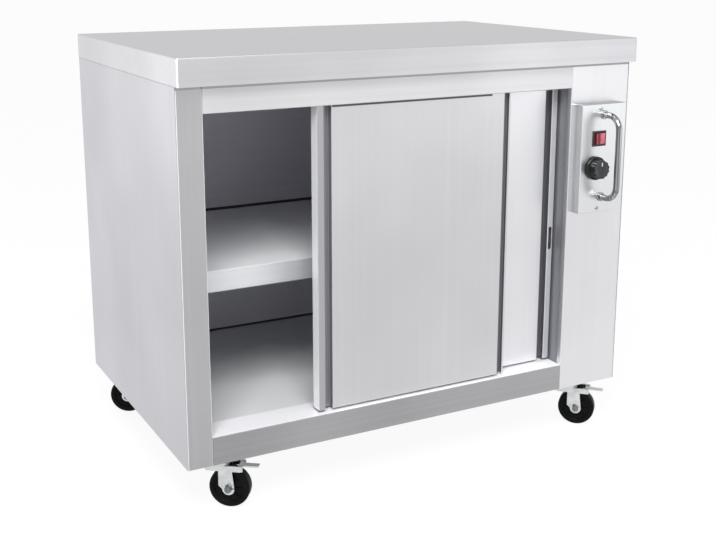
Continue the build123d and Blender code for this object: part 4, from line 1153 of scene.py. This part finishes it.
@dataclass
class Wheel:
    """Castor wheel: a crowned tyre, a bead, a sunk dish and a ribbed hub."""

    radius: float = 40.0 * MM
    width: float = 26.0 * MM
    sides: int = 72
    tyre: float = 9.0 * MM
    crown: float = 5.0 * MM
    crown_facets: int = 5
    edge: float = 0.35 * MM
    # Bead, shoulder, wall of the dish, its floor and the hub's wall: how wide and how high each is
    steps: tuple[tuple[float, float], ...] = (
        (1.0 * MM, -0.8 * MM), (1.2 * MM, 0.0), (1.0 * MM, -2.2 * MM), (15.0 * MM, 0.0),
        (1.0 * MM, 2.4 * MM))
    ribs: int = 8
    rib_low: Point = (-0.9 * MM, -1.3 * MM, 9.0 * MM)
    rib_high: Point = (0.9 * MM, 1.3 * MM, 24.6 * MM)
    rib_depth: float = 1.8 * MM
    rib_edge: float = 0.4 * MM

    def disc(self) -> bpy.types.Object:
        """Model tyre, dish and hub from one cylinder."""
        half = Vector((0, self.width / 2, 0))
        wheel = bar("wheel", -half, half, self.radius, self.sides)

        def from_axis(point: Vector) -> float:
            """Give a point's distance from the axis."""
            return math.hypot(point.x, point.z)

        def side(c: Vector, n: Vector) -> bool:
            """Tell whether a face lies square to the axis."""
            return abs(n.y) > SQUARE_ON

        def middle(c: Vector, n: Vector) -> bool:
            """Tell whether a face is the middle one of a side."""
            return side(c, n) and from_axis(c) < MM

        def rim(a: Vector, b: Vector) -> bool:
            """Tell whether an edge goes round the tyre's outside."""
            return (all(abs(from_axis(p) - self.radius) < NEAR for p in (a, b))
                    and abs(a.y - b.y) < SAME_PLACE)

        with editing(wheel):
            select_faces(wheel, side)
            bpy.ops.mesh.inset(thickness=self.tyre, depth=0, use_individual=True)
            for thickness, depth in self.steps:
                select_faces(wheel, middle)
                bpy.ops.mesh.inset(thickness=thickness, depth=depth, use_individual=True)
            select_edges(wheel, rim)
            bpy.ops.mesh.bevel(offset=self.crown, segments=self.crown_facets, affect="EDGES")
        soften(wheel, self.edge, angle=40, segments=2)
        return wheel

    def build(self) -> bpy.types.Object:
        """Model the wheel with one rib that is copied round both of its sides.

        Returns:
            The wheel at the origin, with its axis along Y.
        """
        pieces = [self.disc()]
        rib = slab("rib", Vector(self.rib_low), Vector(self.rib_high))
        soften(rib, self.rib_edge, segments=2)
        for side in (-1, 1):
            out = Matrix.Translation((0, side * (self.width / 2 - self.rib_depth), 0))
            for step in range(self.ribs):
                spin = Matrix.Rotation(math.tau * step / self.ribs, 4, "Y")
                pieces.append(copied(rib, spin @ out, "rib"))
        bpy.data.objects.remove(rib)
        wheel = join(pieces, "wheel")
        smooth(wheel, angle=40)
        return wheel


@dataclass
class Castor:
    """One swivel castor: wheel, plated fork with its nuts and, at the front, a brake pedal."""

    corner: str
    angle: float
    braked: bool
    fork_outer: float = 18.0 * MM
    nut_reach: float = 8.0 * MM
    fork_edge: float = 0.7 * MM
    pedal_edge: float = 0.6 * MM

    def build(self, wheel: bpy.types.Object) -> None:
        """Place the wheel, and model fork and pedal over their CAD nodes.

        Args:
            wheel: the wheel to copy, at the origin with its axis along Y.
        """
        low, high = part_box(f"{self.corner}_castor_wheel")
        centre = (low + high) / 2
        turn = Matrix.Rotation(math.radians(self.angle), 4, "Z")
        tyred = copied(wheel, Matrix.Translation(centre) @ turn, f"{self.corner}_wheel_tyred")
        finish_piece(tyred, f"{self.corner}_wheel", TYRE_RUBBER, "black_rubber",
                     f"{self.corner}_castor_wheel")
        fork = cad_copy(f"{self.corner}_castor_fork", f"{self.corner}_fork_plated",
                        self.fork_edge)
        finish_piece(fork, f"{self.corner}_castor", BRIGHT_ZINC, "bright_zinc",
                     f"{self.corner}_castor_fork")
        axis = turn @ Vector((0, 1, 0))
        repaint(fork, NUT_STEEL, lambda c, n: abs((c - centre).dot(axis)) > self.fork_outer
                and abs(c.z - centre.z) < self.nut_reach)
        if self.braked:
            pedal = cad_copy(f"{self.corner}_brake_pedal", f"{self.corner}_pedal_plated",
                             self.pedal_edge)
            finish_piece(pedal, f"{self.corner}_pedal", BRIGHT_ZINC, "bright_zinc",
                         f"{self.corner}_brake_pedal")


@dataclass
class CastorSet:
    """All four castors with their plates and bolts. The front ones have brakes."""

    angles: dict[str, float] = field(default_factory=lambda: {
        "front_left": -37.0, "front_right": -46.0, "rear_left": 150.0, "rear_right": 25.0})

    def build(self) -> None:
        """Dress the plates and build each castor."""
        PAINT.coat_nodes({"castor_plates": BRIGHT_ZINC, "castor_bolts": SCREW_STEEL})
        wheel = Wheel().build()
        for corner, angle in self.angles.items():
            Castor(corner, angle, braked=corner.startswith("front")).build(wheel)
        bpy.data.objects.remove(wheel)


@dataclass(frozen=True)
class Lamp:
    """One square soft lamp: its place, the point it looks at, its side and its power in watts."""

    name: str
    place: Point
    aim: Point
    size: float
    watts: float

    def hang(self) -> None:
        """Add the lamp to the scene."""
        data = bpy.data.lights.new(self.name, "AREA")
        data.shape = "SQUARE"
        data.size = self.size
        data.energy = self.watts
        lamp = bpy.data.objects.new(self.name, data)
        lamp.location = self.place
        way = Vector(self.aim) - Vector(self.place)
        lamp.rotation_euler = way.to_track_quat("-Z", "Y").to_euler()
        bpy.context.scene.collection.objects.link(lamp)


@dataclass
class Studio:
    """Pale floor, soft light all round, and the camera."""

    lens: float = 56.3554
    pitch: float = 12.9151
    yaw: float = 27.9871
    eye: Point = (-1.11286, -2.09157, 1.03735)
    shift_y: float = -0.085
    floor_size: float = 60.0
    floor_z: float = -0.6 * MM  # just under the tyres, so that they don't cut it
    floor_roughness: float = 0.9
    floor_glow: float = 0.92
    fill: float = 0.72
    lamps: tuple[Lamp, ...] = (
        Lamp("front", (-1.3, -2.4, 3.2), (-0.1, 0, 0.4), 1.8, 185.0),
        Lamp("right", (3.0, -3.4, 1.2), (0.3, 0, 0.5), 2.6, 12.0),
        Lamp("left", (-2.9, 2.7, 0.6), (-0.5, 0, 0.5), 1.4, 12.0))

    def camera(self) -> None:
        """Place the camera."""
        data = bpy.data.cameras.new("studio_camera")
        camera = bpy.data.objects.new("studio_camera", data)
        bpy.context.scene.collection.objects.link(camera)
        data.lens = self.lens
        data.shift_y = self.shift_y
        camera.location = self.eye
        camera.rotation_euler = (math.radians(90 - self.pitch), 0, -math.radians(self.yaw))
        bpy.context.scene.camera = camera

    def floor(self) -> None:
        """Lay a wide white floor that keeps a soft shadow."""
        deselect()
        bpy.ops.mesh.primitive_plane_add(size=self.floor_size, location=(0, 0, self.floor_z))
        floor = bpy.context.object
        floor.name = "studio_floor"
        # Matt white paint: even and bright, so that the cabinet's outline stands clear
        material, tree, shader, _ = fresh_material("matt_white_floor")
        shader.inputs["Base Color"].default_value = linear("#F4F4F4")
        shader.inputs["Roughness"].default_value = self.floor_roughness
        white = add_node(tree, "ShaderNodeEmission", {"Color": linear("#FFFFFF"),
                         "Strength": 1.0})
        share = add_node(tree, "ShaderNodeMath", {"operation": "MULTIPLY", 1: self.floor_glow},
                         {0: self.seen(tree)})
        mix = add_node(tree, "ShaderNodeMixShader", {}, {0: share.outputs["Value"],
                       1: shader.outputs["BSDF"], 2: white.outputs["Emission"]})
        out = next(n for n in tree.nodes if n.type == "OUTPUT_MATERIAL")
        tree.links.new(mix.outputs["Shader"], out.inputs["Surface"])
        floor.data.materials.append(material)

    @staticmethod
    def seen(tree: bpy.types.NodeTree) -> bpy.types.NodeSocket:
        """Give 1 where a ray sees the studio straight, in a reflection or through glass."""
        path = add_node(tree, "ShaderNodeLightPath")
        mirrored = add_node(tree, "ShaderNodeMath", {"operation": "MAXIMUM"},
                            {0: path.outputs["Is Glossy Ray"],
                             1: path.outputs["Is Transmission Ray"]})
        either = add_node(tree, "ShaderNodeMath", {"operation": "MAXIMUM"},
                          {0: path.outputs["Is Camera Ray"], 1: mirrored.outputs["Value"]})
        return either.outputs["Value"]

    def world(self) -> None:
        """Fill the world with soft light, white to the eye and in reflections."""
        world = bpy.data.worlds.new("studio_world")
        bpy.context.scene.world = world
        world.use_nodes = True
        tree = world.node_tree
        tree.nodes.clear()
        soft = add_node(tree, "ShaderNodeBackground", {"Color": linear("#F6F7FA"),
                        "Strength": self.fill})
        white = add_node(tree, "ShaderNodeBackground", {"Color": linear("#FFFFFF"),
                         "Strength": 1.0})
        mix = add_node(tree, "ShaderNodeMixShader", {}, {0: self.seen(tree),
                       1: soft.outputs["Background"], 2: white.outputs["Background"]})
        add_node(tree, "ShaderNodeOutputWorld", {}, {"Surface": mix.outputs["Shader"]})

    def build(self) -> None:
        """Set up the whole studio."""
        bpy.context.scene.view_settings.view_transform = "Standard"
        self.camera()
        self.floor()
        self.world()
        for lamp in self.lamps:
            lamp.hang()


def main() -> None:
    """Build the studio and every sub-assembly in order."""
    logging.basicConfig(level=logging.INFO, format="%(name)s: %(message)s")
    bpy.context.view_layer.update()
    Studio().build()
    for part in (Carcass(), Compartment(), Doors(), ControlGroup(), CastorSet()):
        part.build()


if __name__ == "__main__":
    main()
